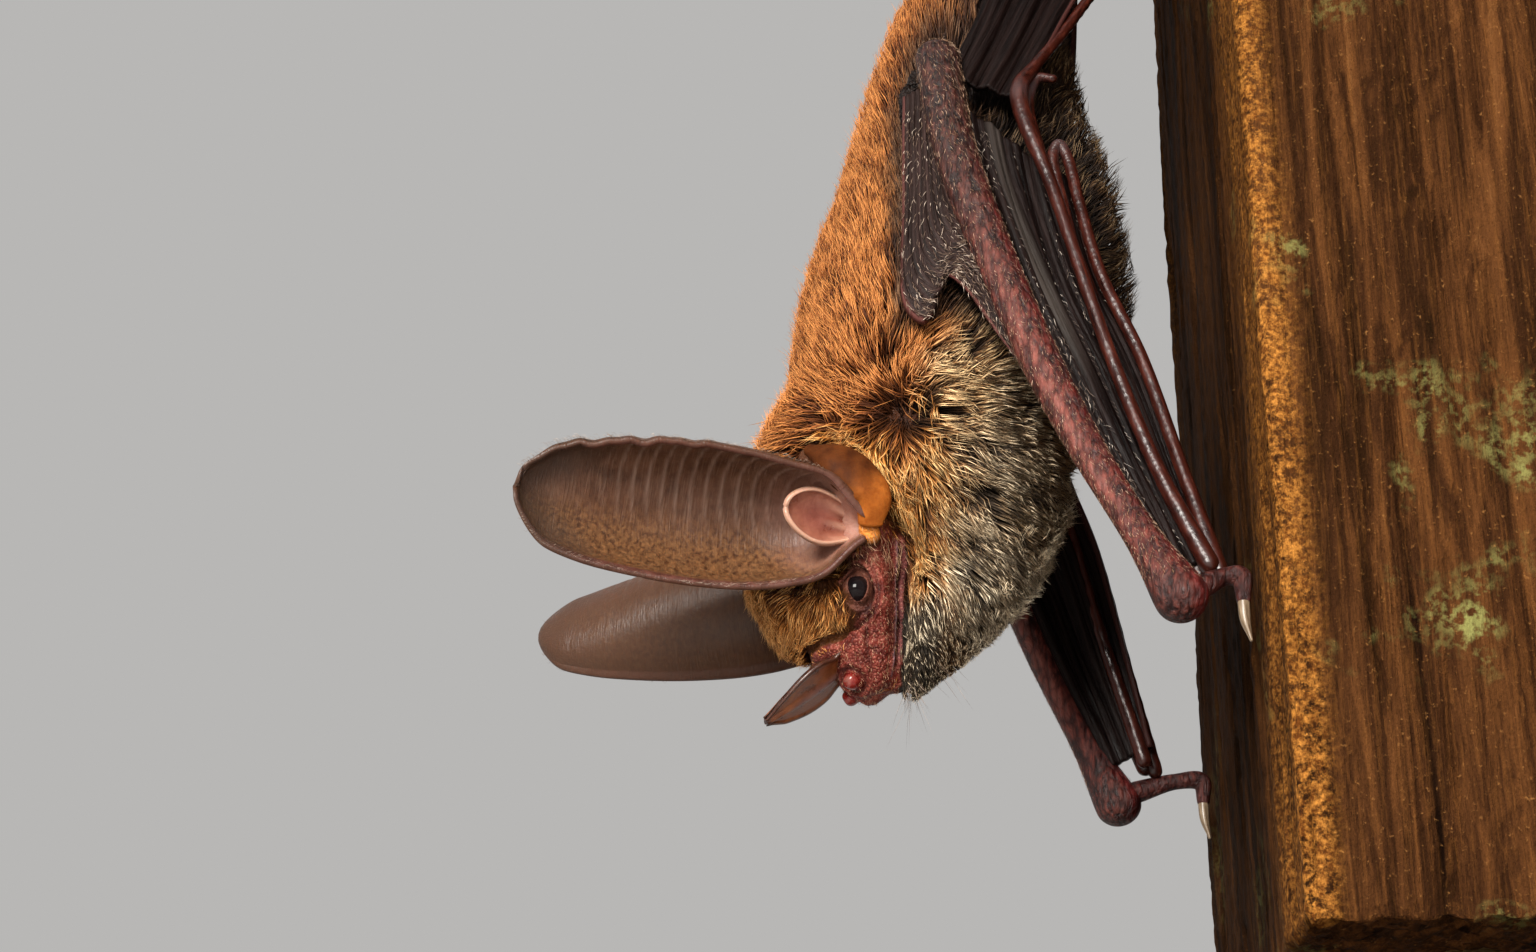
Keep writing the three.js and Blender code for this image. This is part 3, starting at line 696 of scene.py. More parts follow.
def paintWood():
    # Old timber: long fibres, dark cracks, grit that catches the light and a little lichen, with painted
    # shade on the side that faces the bat.
    paint = Paint("oldTimber", 0.85, 0.02)
    grain = paint.noise(1, 8, 0.7, paint.stretched((620, 620, 38)), warp=0.6)
    fibres = paint.noise(1, 5, 0.7, paint.stretched((3200, 3200, 120)))
    cracks = paint.noise(1, 4, 0.55, paint.stretched((300, 300, 12)), warp=1.2)
    grit = paint.noise(2600, 3, 0.7)
    colour = paint.ramp(
        grain,
        (0.3, (0.0072, 0.0032, 0.0008)), (0.47, (0.0304, 0.0112, 0.004)),
        (0.62, (0.092, 0.0344, 0.0104)), (0.8, (0.192, 0.084, 0.0272)),
    )
    colour = paint.mix(paint.grey(fibres, 0.5, 0.75, 0, 0.4), colour, (0.192, 0.0736, 0.0176))
    colour = paint.mix(paint.grey(cracks, 0.42, 0.34, 0, 0.9), colour, (0.004, 0.0016, 0.0008))
    colour = paint.mix(paint.grey(grit, 0.62, 0.74, 0, 0.55), colour, (0.304, 0.136, 0.04))
    worn = paint.sum("MULTIPLY", paint.mask("edge"), paint.grey(paint.noise(1500, 5, 0.75), 0.40, 0.54))
    rust = paint.ramp(grit, (0.38, (0.104, 0.032, 0.0064)), (0.70, (0.528, 0.216, 0.04)))
    colour = paint.mix(worn, colour, rust)
    spots, flakes = paint.grey(paint.noise(90, 3), 0.60, 0.74), paint.grey(paint.noise(1500, 3), 0.45, 0.6)
    colour = paint.mix(paint.sum("MULTIPLY", spots, flakes), colour, (0.2, 0.192, 0.06))
    # painted shade: the side of the beam that faces the bat is darkened
    sideShade = paint.ramp(grain, (0.4, (0.0056, 0.0024, 0.0008)), (0.75, (0.048, 0.0192, 0.0072)))
    colour = paint.mix(paint.mask("shadedSide"), colour, sideShade)
    return paint.finish(
        colour, grain, 0.62, 0.9, (cracks, 0.9), (grain, 0.7), (fibres, 0.25), (grit, 0.2)
    )


def paintGrain(name, roughness, grain, dark, light, smooth, rough, depth, **sockets):
    # Two tones along a grain: horn, stained wood and brushed metal.
    paint = Paint(name, roughness, **sockets)
    detail, warp, stretch = grain
    place = paint.uv(*stretch) if len(stretch) == 2 else paint.stretched(stretch)
    streaks = paint.noise(1, detail, 0.6, place, warp=warp)
    colour = paint.ramp(streaks, (0.3, dark), (0.7, light))
    return paint.finish(colour, streaks, smooth, rough, (streaks, depth))


coatPaint = paintCoat()
skinPaint = paintSkin()
armPaint = paintArm()
fingerPaint = paintFinger()
bristlePaint = paintBristle()
armWebPaint = paintWeb("armWebSkin", (0.004, 0.0025, 0.002), (0.034, 0.018, 0.0155), 6, 40)
handWebPaint = paintWeb("handWebSkin", (0.001, 0.0006, 0.0006), (0.0105, 0.0048, 0.004), 5, 34)
tailWebPaint = paintWeb("tailWebSkin", (0.006, 0.003, 0.002), (0.055, 0.025, 0.018), 10, 26)
earPaint = paintEar()
tragusPaint = paintTragus()
lobePaint = paintLobe()
leafPaint = paintLeaf()
eyePaint = paintEye()
beadPaint = paintBead()
woodPaint = paintWood()
grains = {  # detail, warp and stretch of the grain, then its dark and light tones
    "horn": ((4, 0, (8, 2)), (0.05, 0.028, 0.016), (0.30, 0.22, 0.14)),
    "stain": ((6, 0.5, (16, 260, 260)), (0.020, 0.012, 0.008), (0.075, 0.045, 0.030)),
    "brass": ((4, 0, (120, 120, 3800)), (0.42, 0.30, 0.13), (0.66, 0.50, 0.26)),
}
clawPaint = paintGrain("clawHorn", 0.3, *grains["horn"], 0.2, 0.42, 0.02)
basePaint = paintGrain("stainedBase", 0.4, *grains["stain"], 0.3, 0.5, 0.06)
rodPaint = paintGrain("brushedBrass", 0.3, *grains["brass"], 0.24, 0.42, 0.02, Metallic=1.0)
print("materials ready")

# ---- the coat's plan: its markings, depth and lie, all by place in the bat's frame ----

coatPlan = {
    "parting": [(4.6, 10.0, 0.2), (7.4, 10.0, 0.9), (10.2, 10.0, 1.9)],  # the coat streams away from it
    "depth": {"brow": 1.1, "crown": 1.6, "neck": 2.3, "back": 2.0},
    "length": {"brow": 2.8, "neck": 4.5, "back": 4.0, "throat": 3.7, "chin": 1.4},
    # the orange lobe where the ear grows out of the cheek, and the fringe of gold hair round it
    "lobe": [(3.0, 8.4, -1.9), (4.7, 9.0, -3.1), (6.3, 9.1, -4.6), (7.4, 9.0, -6.1), (7.3, 8.2, -7.8)],
    "lobeWidth": 1.25,
    "fringe": [
        (3.0, 8.5, -0.6), (5.1, 9.2, -1.6), (7.1, 9.2, -3.1), (8.5, 9.2, -5.2), (9.0, 8.8, -8.0),
        (9.6, 7.2, -11.4),
    ],
    "fringeWidth": 0.95,
}
faceEdge = {"brow": 5.3, "lip": 0.68, "rear": -6.5}


def foldY(p):  # both sides of the body seen as one
    return np.column_stack([p[:, 0], np.abs(p[:, 1]), p[:, 2]])


def besideLobe(p):  # distance from the lobe, 1 at its edge
    reach = coatPlan["lobeWidth"] * (1 + 0.18 * np.sin(1.9 * p[:, 2]))
    flat = foldY(p) * (1, 0.35, 1)
    path = np.array(coatPlan["lobe"]) * (1, 0.35, 1)
    return np.where(np.abs(p[:, 1]) > 5, nearPath(flat, path) / reach, 9)


def onLobe(p):
    return ease(1.12, 0.82, besideLobe(p))


def byParting(p, width):  # 1 on the parting
    return hump(nearPath(foldY(p), coatPlan["parting"]), 0, width)


def besideFringe(p):  # distance from the fringe as seen from the side, 1 at its edge
    flat = (1, 0.15, 1)
    return nearPath(foldY(p) * flat, np.array(coatPlan["fringe"]) * flat) / coatPlan["fringeWidth"]


def mouthLine(z):
    return 9.05 - 0.25 * ease(-13, -18, z) + 0.25 * ease(-12, -9, z)


def bareFace(p):  # 1 on the naked muzzle, cheek and lip
    x, y, z = foldY(p).T
    wobble = 0.25 * np.sin(2.1 * z) + 0.2 * np.sin(5.3 * y + z)
    upper = faceEdge["brow"] + 0.9 * ease(-14.3, -12.6, z) * ease(3.2, 1.6, y) - 3.6 * ease(-14.7, -15.8, z)
    upper = upper + 1.3 * hump(z, -14.1, 0.75)
    lower = mouthLine(z) + faceEdge["lip"]
    inside = ease(upper - 0.35, upper + 0.35, x + wobble)
    inside = inside * ease(lower + 0.15, lower - 0.15, x + 0.3 * wobble)
    rear = faceEdge["rear"] - 0.55 * np.abs(x - 7.6)
    return inside * ease(rear + 0.5, rear - 0.5, z + wobble) * ease(1.2, 2.4, y + 3 * ease(-13.6, -15, z))


def markings(p):
    x, y, z = foldY(p).T
    border = along([8.8, 9.2, 10.6, 14.2, 15.6, 16.6, 17.8, 19.0, 21.0], (z + 19) / 74)
    ragged = 1.1 * waves(p, 6, 3)
    pale = ease(border - 1.2, border + 2.4, x + ragged)
    chin = ease(9.2, 9.8, x) * ease(-10.5, -13.0, z - 0.35 * (x - 10))
    throat = pale * ease(13, 18, x + ragged - 0.35 * (z + 6)) * ease(8, 3, z)
    dark = ease(9.0, 9.6, x) * ease(14.2, 11.8, x) * ease(-12.9, -14.5, z - 0.25 * (x - 10))
    brow = ease(-4, -8, z + 0.5 * ragged) * (1 - pale)
    fringe = ease(1.5, 0.7, besideFringe(p)) * ease(3, 5, y)
    warm = 0.8 * pale * ease(15, 10.5, x + 0.6 * ragged) * ease(3, -1, z)
    beside = ease(8.3, 9.8, x + 0.4 * ragged) * ease(5, 8, z) * ease(6, 9, y)
    under = 0.8 * ease(14, 16, x + 0.5 * ragged) * ease(3, 7, z)
    return {
        "pale": pale,
        "ash": np.clip(np.maximum(chin, 0.8 * throat), dark, 1),
        "gold": np.clip(np.maximum(0.5 * brow + fringe, warm), 0, 1) * (1 - dark),
        # painted shade on the flanks and belly, with a touch of the chin's dark
        "shadedFur": np.clip(np.maximum(0.9 * beside * ease(44, 36, z), under) + 0.1 * dark, 0, 1),
        "dark": dark,
    }


def coatDepth(p):
    x, _, z = p.T
    depth = coatPlan["depth"]
    head = ease(-1, -7, z)
    value = along([depth["back"], depth["back"], depth["neck"], depth["neck"], depth["back"]], (6 - z) / 12)
    dorsal = ease(9.4, 6, x)
    value = value + head * (dorsal * (depth["crown"] - value))
    value = value + ease(-8, -12, z) * (dorsal * (depth["brow"] - value))
    chin = ease(9, 10, x) * ease(-9, -16, z)
    value = value * (1 - 0.72 * chin)
    return value * (1 - bareFace(p)) * (1 - 0.85 * onLobe(p))


def coatLie(p, normals, shift=0):
    # Hair streams from the parting at the side of the neck: up the back, over the crown, across the throat.
    x, y, z = (p + shift).T
    start, bend, end = (np.array(place) for place in coatPlan["parting"])
    share = np.clip((x - start[0]) / (end[0] - start[0]), 0, 1)
    side = np.where(y < 0, -1.0, 1.0)
    rise = z - along([start[2], bend[2], end[2]], share)
    apart = np.stack([x - (start[0] + (end[0] - start[0]) * share), rise], 1)
    lean = 0.9 * (share * 2 - 1)
    climb = np.where(rise < 0, 0.5 * rise, rise)
    away = np.stack([apart[:, 0] + lean, 0.3 * (y - start[1] * side), climb], 1)
    away[:, 2] += 2.5 * ease(4, 14, z)
    near = hump(np.linalg.norm(apart, axis=1), 0, 3.5)
    stir = (0.9 + 0.7 * near)[:, None]
    away += stir * np.stack([waves(p, 4.0, 11), waves(p, 4.0, 12), waves(p, 4.0, 13)], 1)
    guide = ease(1.9, 0.6, besideFringe(p))[:, None]
    turn = math.radians(47) - math.radians(34) * ease(-6, -10, p[:, 2])
    away = unit(away) * (1 - guide) + np.stack([np.cos(turn), 0 * turn, -np.sin(turn)], 1) * guide
    away -= normals * np.sum(away * normals, 1, keepdims=True)
    return unit(away)


def coatLength(p):
    x, y, z = p.T
    length = coatPlan["length"]
    value = length["back"] + (length["neck"] - length["back"]) * hump(z, -1, 6)
    value = value + markings(p)["pale"] * (length["throat"] - value) * 0.8
    dorsal = ease(9.4, 7, x)
    value = value + ease(-4, -10, z) * dorsal * (length["brow"] - value)
    chin = ease(9, 9.8, x) * ease(-11, -15.5, z - 0.4 * (x - 10))
    value = value + chin * (length["chin"] - value)
    value = value * (1 - 0.55 * dorsal * ease(-11.5, -14.5, z))
    value = value * (1 - 0.5 * ease(2.4, 0.6, besideFringe(p)) * ease(3, 5, np.abs(y)))
    value = value * (1 - 0.45 * byParting(p, 2.6))
    return value * (0.36 + 0.64 * ease(0.0, 1.1, coatDepth(p)))


print("coat planned")

# ---- skin ----

skinPlan = {
    "nodes": ["head", "lower_jaw", "neck", "trunk", "nose_pad"],
    "paired": ["upper_arm", "thigh"],
    "swell": 0.17,  # closes the gaps between the solids before they are fused
    "voxel": 0.42,
    "smooth": 14,
    "steps": 5,
    "webSide": 12.2,  # the flesh stays inside the folded wings
    "faceCuts": 2,
    "face": {"front": -7.2, "low": 4.4, "high": 10.6, "seam": 0.2},  # where the mesh is made finer
}


def bothSides(names):
    return [name + "_" + side for name in names for side in ("left", "right")]


fleshNodes = skinPlan["nodes"] + bothSides(skinPlan["paired"])


def fuseFlesh():
    copies = [looseCopy(node, node + "_flesh") for node in fleshNodes]
    for copy in copies:
        swell(copy, skinPlan["swell"])
    joinInto(copies[0], copies)
    skin = bpy.context.object
    skin.name = "skin"
    skin.data.remesh_voxel_size = skinPlan["voxel"] * 0.001
    bpy.ops.object.voxel_remesh()
    modify(skin, "SMOOTH", factor=0.5, iterations=skinPlan["smooth"])
    return skin


def sinkUnderCoat(skin):
    # The flesh lies inside the coat by the coat's depth. It sinks in steps, smoothed between them.
    depth = coatDepth(toBat(getPoints(skin)))
    steps = skinPlan["steps"]
    for _ in range(steps):
        setPoints(skin, getPoints(skin) - getNormals(skin) * (depth / steps * 0.001)[:, None])
        modify(skin, "SMOOTH", factor=0.5, iterations=2)
    points = toBat(getPoints(skin))
    points[:, 1] = np.clip(points[:, 1], -skinPlan["webSide"], skinPlan["webSide"])
    setPoints(skin, toPart(points))


def refineFace(skin):
    face = skinPlan["face"]

    def onFace(inset):
        x, _, z = toBat(getPoints(skin)).T
        return (z < face["front"] - inset) & (x > face["low"] + inset) & (x < face["high"] - inset)

    for _ in range(skinPlan["faceCuts"]):
        near = onFace(0)
        pick(skin, "FACE", [all(near[i] for i in polygon.vertices) for polygon in skin.data.polygons])
        bpy.ops.mesh.subdivide(number_cuts=1, smoothness=0.0)
        bpy.ops.object.mode_set(mode="OBJECT")
    group = skin.vertex_groups.new(name="face")
    group.add(np.flatnonzero(onFace(face["seam"])).tolist(), 1, "REPLACE")
    modify(skin, "SMOOTH", factor=0.5, iterations=4, vertex_group="face")


lids = {"open": 0.86, "reach": 1.95, "cover": 0.12, "sunk": 0.35, "stretch": (0.77, 1.15)}
bead = {"place": (6.0, -1.3, -17.6), "socket": (6.0, 1.25, -17.6), "radius": 0.66}  # beside each nostril


def aroundEye(p):  # distance from the middle of the eye, 1 near the edge of its opening
    x, y, z = foldY(p).T
    wide, tall = lids["stretch"]
    reach = np.sqrt(((x - eyeball["place"][0]) / wide) ** 2 + ((z - eyeball["place"][2]) / tall) ** 2)
    return np.where(y > 2.2, reach, 9)


def wrapEye(p):
    # The lids lie on the eyeball, with a clean edge round the opening.
    x, y, z = foldY(p).T
    reach = aroundEye(p)
    radial = np.hypot(x - eyeball["place"][0], z - eyeball["place"][2])
    ball = -eyeball["place"][1] + np.sqrt(np.maximum(eyeball["radius"] ** 2 - radial**2, 0))
    ball = ball + eyeball["bulge"] * ease(1.1, 0.5, radial)
    lid = np.maximum(y, ball + lids["cover"] + 0.10 * hump(reach, lids["open"] + 0.14, 0.13))
    cover = ease(lids["reach"], 1.3, reach)
    opening = ease(lids["open"] + 0.07, lids["open"] - 0.07, reach)
    moved = y + (lid - y) * cover
    moved = moved + (ball - lids["sunk"] - moved) * opening
    wrapped = p.copy()
    wrapped[:, 1] = np.where(reach < lids["reach"], np.sign(p[:, 1]) * moved, p[:, 1])
    return wrapped


def sculptFace(skin):
    points = toBat(getPoints(skin))
    normals = getNormals(skin) @ frameTurn * 1000
    p = foldY(points)
    x, y, z = p.T
    bare = bareFace(points)
    reach = aroundEye(points)
    push = -0.15 * hump(reach, 0, 1.5)
    push -= 0.16 * hump(reach, 1.50, 0.11)  # grooves and folds that ring the eye
    push += 0.12 * hump(reach, 1.75, 0.13)
    push -= 0.12 * hump(reach, 2.02, 0.11)
    push += 0.12 * hump(reach, 2.3, 0.16)
    mouthX = mouthLine(z)
    mouth = ease(-7.6, -9.0, z) * ease(1.0, 1.8, y)
    push -= 0.40 * hump(x, mouthX + 0.18, 0.13) * mouth
    push += 0.16 * hump(x, mouthX - 0.10, 0.16) * mouth
    push += 0.16 * hump(x, mouthX + 0.52, 0.24) * mouth
    bowed = x - 0.35 * np.sin((z + 13) * 0.75)
    crease = hump(bowed, 7.35, 0.15) * ease(-13.9, -14.9, z) * ease(-17.8, -16.8, z)
    push -= 0.20 * crease
    push += 0.16 * hump(x, 8.2, 0.7) * ease(-9, -12, z) * ease(-18.2, -16, z)  # ridge of the cheek
    push += 0.24 * hump(x, 6.5, 0.9) * hump(z, -15.4, 1.4)
    push += 0.22 * hump(x, 7.7, 0.8) * hump(z, -18.6, 0.9) * ease(0.2, 1.0, y)  # swelling of the upper lip
    nearBead = np.linalg.norm(p - bead["socket"], axis=1)
    push -= 0.22 * hump(nearBead, 0.98, 0.16)
    push += 0.12 * hump(nearBead, 1.28, 0.18)
    pebble = 0.5 + 0.5 * waves(p, 0.75, 21, 2)
    push += bare * (0.05 * pebble + 0.10 * waves(p, 2.2, 22, 2)) * (reach > 1.35)
    lump = onLobe(points)
    push += lump * (0.55 + 0.12 * waves(p, 4, 23, 2))
    push += 0.25 * hump(nearPath(p, coatPlan["fringe"]), 0, 0.8)
    points = wrapEye(points + unit(normals) * push[:, None])
    setPoints(skin, toPart(points))
    for name, values in markings(points).items():
        setMask(skin, name, values)
    setMask(skin, "bare", np.maximum(bare, ease(0.25, 0.6, lump)))
    lid = hump(reach, 1.1, 0.62) + 0.5 * ease(-11, -9, z) * ease(8.6, 7.2, x)
    setMask(skin, "lid", np.clip(lid, 0, 1))
    setMask(skin, "lip", (0.9 * hump(x, mouthX - 0.04, 0.10) + 0.12 * hump(x, mouthX + 0.5, 0.28)) * mouth)
    # the crease mask is painted shade in the mouth slit and the grooves of the face
    slit = hump(x, mouthX + 0.2, 0.12) * mouth
    folds = 0.6 * hump(reach, 1.50, 0.12) + 0.5 * hump(reach, 2.02, 0.12) + 0.5 * hump(nearBead, 0.98, 0.14)
    setMask(skin, "crease", np.clip(0.9 * slit + 0.6 * crease + folds, 0, 1))
    setMask(skin, "nostril", ease(0.95, 0.7, nearBead))
    setMask(skin, "orange", lump * (0.35 + 0.65 * ease(3.5, 7.0, x)))


skin = fuseFlesh()
print("flesh fused:", len(skin.data.polygons), "faces")
sinkUnderCoat(skin)
refineFace(skin)
sculptFace(skin)
modify(skin, "TRIANGULATE")
print("skin sculpted:", len(skin.data.polygons), "triangles")

# ---- eyes ----


def makeBall(name, place, radius, segments, rings):
    ball = addPiece(
        name,
        bpy.ops.mesh.primitive_uv_sphere_add,
        segments=segments,
        ring_count=rings,
        radius=radius * 0.001,
        location=batFrame @ Vector(place),
    )
    bpy.ops.object.transform_apply(location=True)
    return ball


def makeEye(name, side):
    x, y, z = eyeball["place"]
    piece = makeBall(name, (x, y * side, z), eyeball["radius"], 40, 28)
    points = toBat(getPoints(piece))
    outwards = (points - np.array(Vector((x, y * side, z)))) @ np.array([0.1, -0.98 * side, -0.1])
    points[:, 1] -= side * eyeball["bulge"] * ease(0.3, 1.1, outwards)
    setPoints(piece, toPart(points))
    return piece


def makeBead():  # wet, and a little uneven
    piece = makeBall("nose_bead_left", bead["place"], bead["radius"], 32, 22)
    points = toBat(getPoints(piece))
    points += unit(points - np.array(bead["place"])) * (0.05 * waves(points, 1.1, 41, 2))[:, None]
    setPoints(piece, toPart(points))
    return piece


for sideName, side in (("left", 1), ("right", -1)):
    finishPiece(makeEye("eyeball_" + sideName, side), eyePaint, ["eye_" + sideName])
finishPair(makeBead(), beadPaint)
print("eyes and beads made")

# ---- ears ----

earPlan = {
    "line": [(7.0, -6.9, -8.1), (-5.6, -9.3, -8.2), (-17.5, -11.6, -7.5)],
    "turn": math.radians(22),  # how far the mouth turns forward from straight out
    "halfAngle": math.radians(96),
    "halfWidth": [0.9, 3.5, 4.3, 4.75, 4.9, 4.85, 4.6, 4.2, 3.5, 2.6],
    "round": 0.12,  # share of the length that the tip is rounded over
    "depth": [1.5, 4.6, 5.4, 5.4, 5.1, 4.7, 4.0, 3.0, 1.9, 1.1],
    "ribs": 22,
    "ribBow": 0.30,
    "ribHeight": 0.09,
    "thick": 0.34,
    "rim": 0.42,
}


def earFrame(u):  # the middle of the ear at u, and its three ways: to the tip, outwards and forwards
    forward = wayAlong(earPlan["line"], u)
    out = np.array([0, -math.cos(earPlan["turn"]), -math.sin(earPlan["turn"])])
    out = unit(out - forward * (forward @ out)[:, None])
    front = np.cross(out, forward)
    front = np.where(front[:, 2:3] > 0, -front, front)
    return smoothLine(earPlan["line"], u), forward, out, front


def earSurface(u, v):
    centre, _, out, front = earFrame(u)
    angle = (v * 2 - 1) * earPlan["halfAngle"]
    left = np.clip((1 - u) / earPlan["round"], 0, 1)
    rounded = np.sqrt(np.clip(1 - (1 - left) ** 2, 0.0004, 1))
    wide = along(earPlan["halfWidth"], u) * np.sin(angle) * rounded
    deep = along(earPlan["depth"], u) * np.cos(angle) * rounded
    ragged = 0.10 * np.sin(46 * u) + 0.07 * np.sin(83 * u + 1)
    wide = wide - ragged * ease(0.16, 0.0, v) * ease(0.3, 0.6, u)
    return centre + front * wide[:, None] - out * deep[:, None]


def insideEar(p):  # whether a place is in the cup of an ear
    line = np.array(earPlan["line"])
    folded = foldY(p) * (1, -1, 1)
    length = np.linalg.norm(line[2] - line[0])
    u = (folded - line[0]) @ (line[2] - line[0]) / length**2
    centre, _, out, front = earFrame(np.clip(u, 0, 1))
    across = ((folded - centre) * front).sum(1) / (along(earPlan["halfWidth"], u) + 0.25)
    deep = -((folded - centre) * out).sum(1)
    cup = across**2 + (deep / (along(earPlan["depth"], u) + 0.25)) ** 2 < 1
    return cup & (deep > -0.9) & (u > -0.02) & (u < 1)


def earRib(u, v):  # 1 on the crest of a rib; the ribs bow towards the tip
    bow = earPlan["ribBow"] * (1 + 1.8 * ease(0.45, 0.15, u))
    phase = (u + bow * (v - 0.33) ** 2) * earPlan["ribs"]
    crest = np.exp(-((np.abs((phase % 1) - 0.5) / 0.085) ** 2))
    return crest * ease(0.03, 0.09, v) * ease(0.60, 0.36, v) * ease(0.08, 0.16, u) * ease(0.80, 0.66, u)


def earRelief(u, v):
    hollow = 0.10 * np.sin(9 * u + 3 * v) * ease(0, 0.2, u)
    curl = 0.28 * ease(0.95, 1.0, v) - 0.25 * ease(0.05, 0.0, v)
    return earPlan["ribHeight"] * earRib(u, v) + hollow - curl * ease(0.05, 0.25, u) * ease(1, 0.85, u)


def earThick(u, v):
    front = ease(0.90, 0.965, v)
    rear = ease(0.06, 0.0, v)
    middle = earPlan["thick"] + 0.3 * ease(0.15, 0, u)
    return middle + (earPlan["rim"] - middle) * front * ease(1.0, 0.9, u) + 0.1 * rear


def makeEar():
    ear = spread("ear_skin_left", earSurface, 150, 110, earThick, earRelief)
    u, v = placeOnGrid(ear)
    setMask(ear, "rib", 0.50 * earRib(u, v))
    setMask(ear, "down", ease(0.42, 0.66, v) * ease(0.02, 0.15, u))
    setMask(ear, "root", 0.9 * ease(0.34, 0.06, u + 0.25 * np.abs(v - 0.4)) * ease(0.95, 0.75, v))
    setMask(ear, "rim", np.maximum(ease(0.93, 0.97, v), 0.8 * ease(0.04, 0.01, v)))
    setMask(ear, "point", 0.75 * ease(0.72, 0.95, u + 0.06 * np.sin(9 * v)))
    points = toBat(getPoints(ear))
    centre = smoothLine(earPlan["line"], np.clip(u, 0, 1))
    facing = (batNormals(ear) * unit(points - centre)).sum(1)
    setMask(ear, "outside", 0.8 * ease(0.1, 0.5, facing))
    return ear


def earRimPlaces(count):  # places along the two rims of the left ear, and the way out from its cup there
    u = draw.uniform(0.12, 0.99, count)
    v = np.where(draw.random(count) < 0.6, 0.0, 1.0) + draw.normal(0, 0.004, count)
    v = np.clip(v, 0, 1)
    _, forward, out, front = earFrame(u)
    outwardly = unit(front * np.where(v > 0.5, 1, -1)[:, None] + 0.5 * out + 0.25 * forward)
    return u, v, earSurface(u, v), outwardly, forward


def makeTragus():
    # A broad spoon that rises from the root of the ear, with a hollow and a thickened edge.
    def surface(u, v):
        centre, forward, out, front = earFrame(np.full_like(u, 0.03))
        across = v * 2 - 1
        narrow = np.sqrt(np.clip(1 - (np.clip(u - 0.45, 0, 1) / 0.55) ** 2, 0.002, 1))
        size = along([0.9, 1.3, 1.75, 2.0, 2.05, 2.0], u) * narrow
        bowl = (-0.55 * np.cos(across * 1.5) + 0.35 * across**4) * narrow
        spoon = centre + forward * (-0.9 + 5.9 * u)[:, None] + out * (-2.0 + 1.1 * u + bowl)[:, None]
        return spoon + front * (-1.0 * u + across * size)[:, None]

    def thick(u, v):
        return 0.28 + 0.12 * ease(0.85, 1, np.abs(v * 2 - 1))

    def folds(u, v):  # they gather at the root
        return np.sin(17 * (v - 0.5) + 1.5 * u) * ease(0.62, 0.1, u)

    tragus = spread("tragus_lobe_left", surface, 60, 60, thick, lambda u, v: 0.12 * folds(u, v))
    u, v = placeOnGrid(tragus)
    edge = np.maximum(ease(0.93, 0.98, np.abs(v * 2 - 1)), ease(0.97, 0.99, u))
    setMask(tragus, "rim", np.clip(0.5 * edge + 0.35 * np.clip(folds(u, v), 0, 1), 0, 1))
    setMask(tragus, "hollow", hump(np.hypot((u - 0.55) / 0.42, (v - 0.5) / 0.42), 0, 0.9))
    return tragus


lobePlan = {"deep": [0.5, 1.3, 1.7, 1.6, 1.35, 0.9], "wide": [0.4, 0.7, 0.85, 0.85, 0.7, 0.35], "sunk": 1.4}


def makeLobe():
    # The smooth orange root of the ear, between its rear rim and the fringe of the cheek; its upper part is
    # brown, a painted shade.
    line = [(x, lobePlan["sunk"] - y, z) for x, y, z in coatPlan["lobe"]]
    lobe = drawOut(
        "ear_lobe_left", line, lobePlan["deep"], lobePlan["wide"], sides=32, rings=90, caps=10
    )
    points = toBat(getPoints(lobe))
    # orange low down; above it the lobe is brown, a painted shade
    setMask(lobe, "orange", ease(-4.2, -8.0, points[:, 2] - 0.8 * (points[:, 0] - 6.5)))
    return lobe


finishPair(makeEar(), earPaint, "ear")
finishPair(makeTragus(), tragusPaint, "tragus")
finishPair(makeLobe(), lobePaint)
print("ears made")

# ---- nose leaf ----

leafPlan = {
    "root": (5.9, -15.2),
    "tip": (-0.2, -20.1),
    "halfWidth": [1.3, 2.1, 1.8, 2.4, 2.3, 1.5, 0.3],
    "twist": (0.1, -0.12),
    "thick": 0.4,
}


def leafSurface(u, v):
    across = v * 2 - 1
    bow = 0.7 * np.sin(math.pi * u)
    fold = 0.55 * np.abs(across) * np.sin(math.pi * np.minimum(u + 0.15, 1))
    x = leafPlan["root"][0] + (leafPlan["tip"][0] - leafPlan["root"][0]) * u
    z = leafPlan["root"][1] + (leafPlan["tip"][1] - leafPlan["root"][1]) * u
    y = across * along(leafPlan["halfWidth"], u)
    twistX, twistZ = leafPlan["twist"]
    return np.stack([x + bow + 0.6 * fold + y * twistX, y, z + 0.3 * bow + fold + y * twistZ], 1)


def makeLeaf():
    def relief(u, v):
        across = np.abs(v * 2 - 1)
        return 0.22 * hump(across, 0, 0.16) + 0.12 * hump(across, 0.95, 0.1)

    leaf = spread("nose_leaf_skin", leafSurface, 64, 48, leafPlan["thick"], relief)
    u, v = placeOnGrid(leaf)
    across = np.abs(v * 2 - 1)
    setMask(leaf, "rim", np.clip(ease(0.88, 0.98, across) + ease(0.94, 1, u), 0, 1) * 0.85)
    setMask(leaf, "fold", 0.6 * hump(across, 0, 0.12) * ease(0.9, 0.6, u))
    return leaf


finishPiece(makeLeaf(), leafPaint, ["nose_leaf"])
print("nose leaf made")

# ---- arms, thumbs and fingers, left side first ----

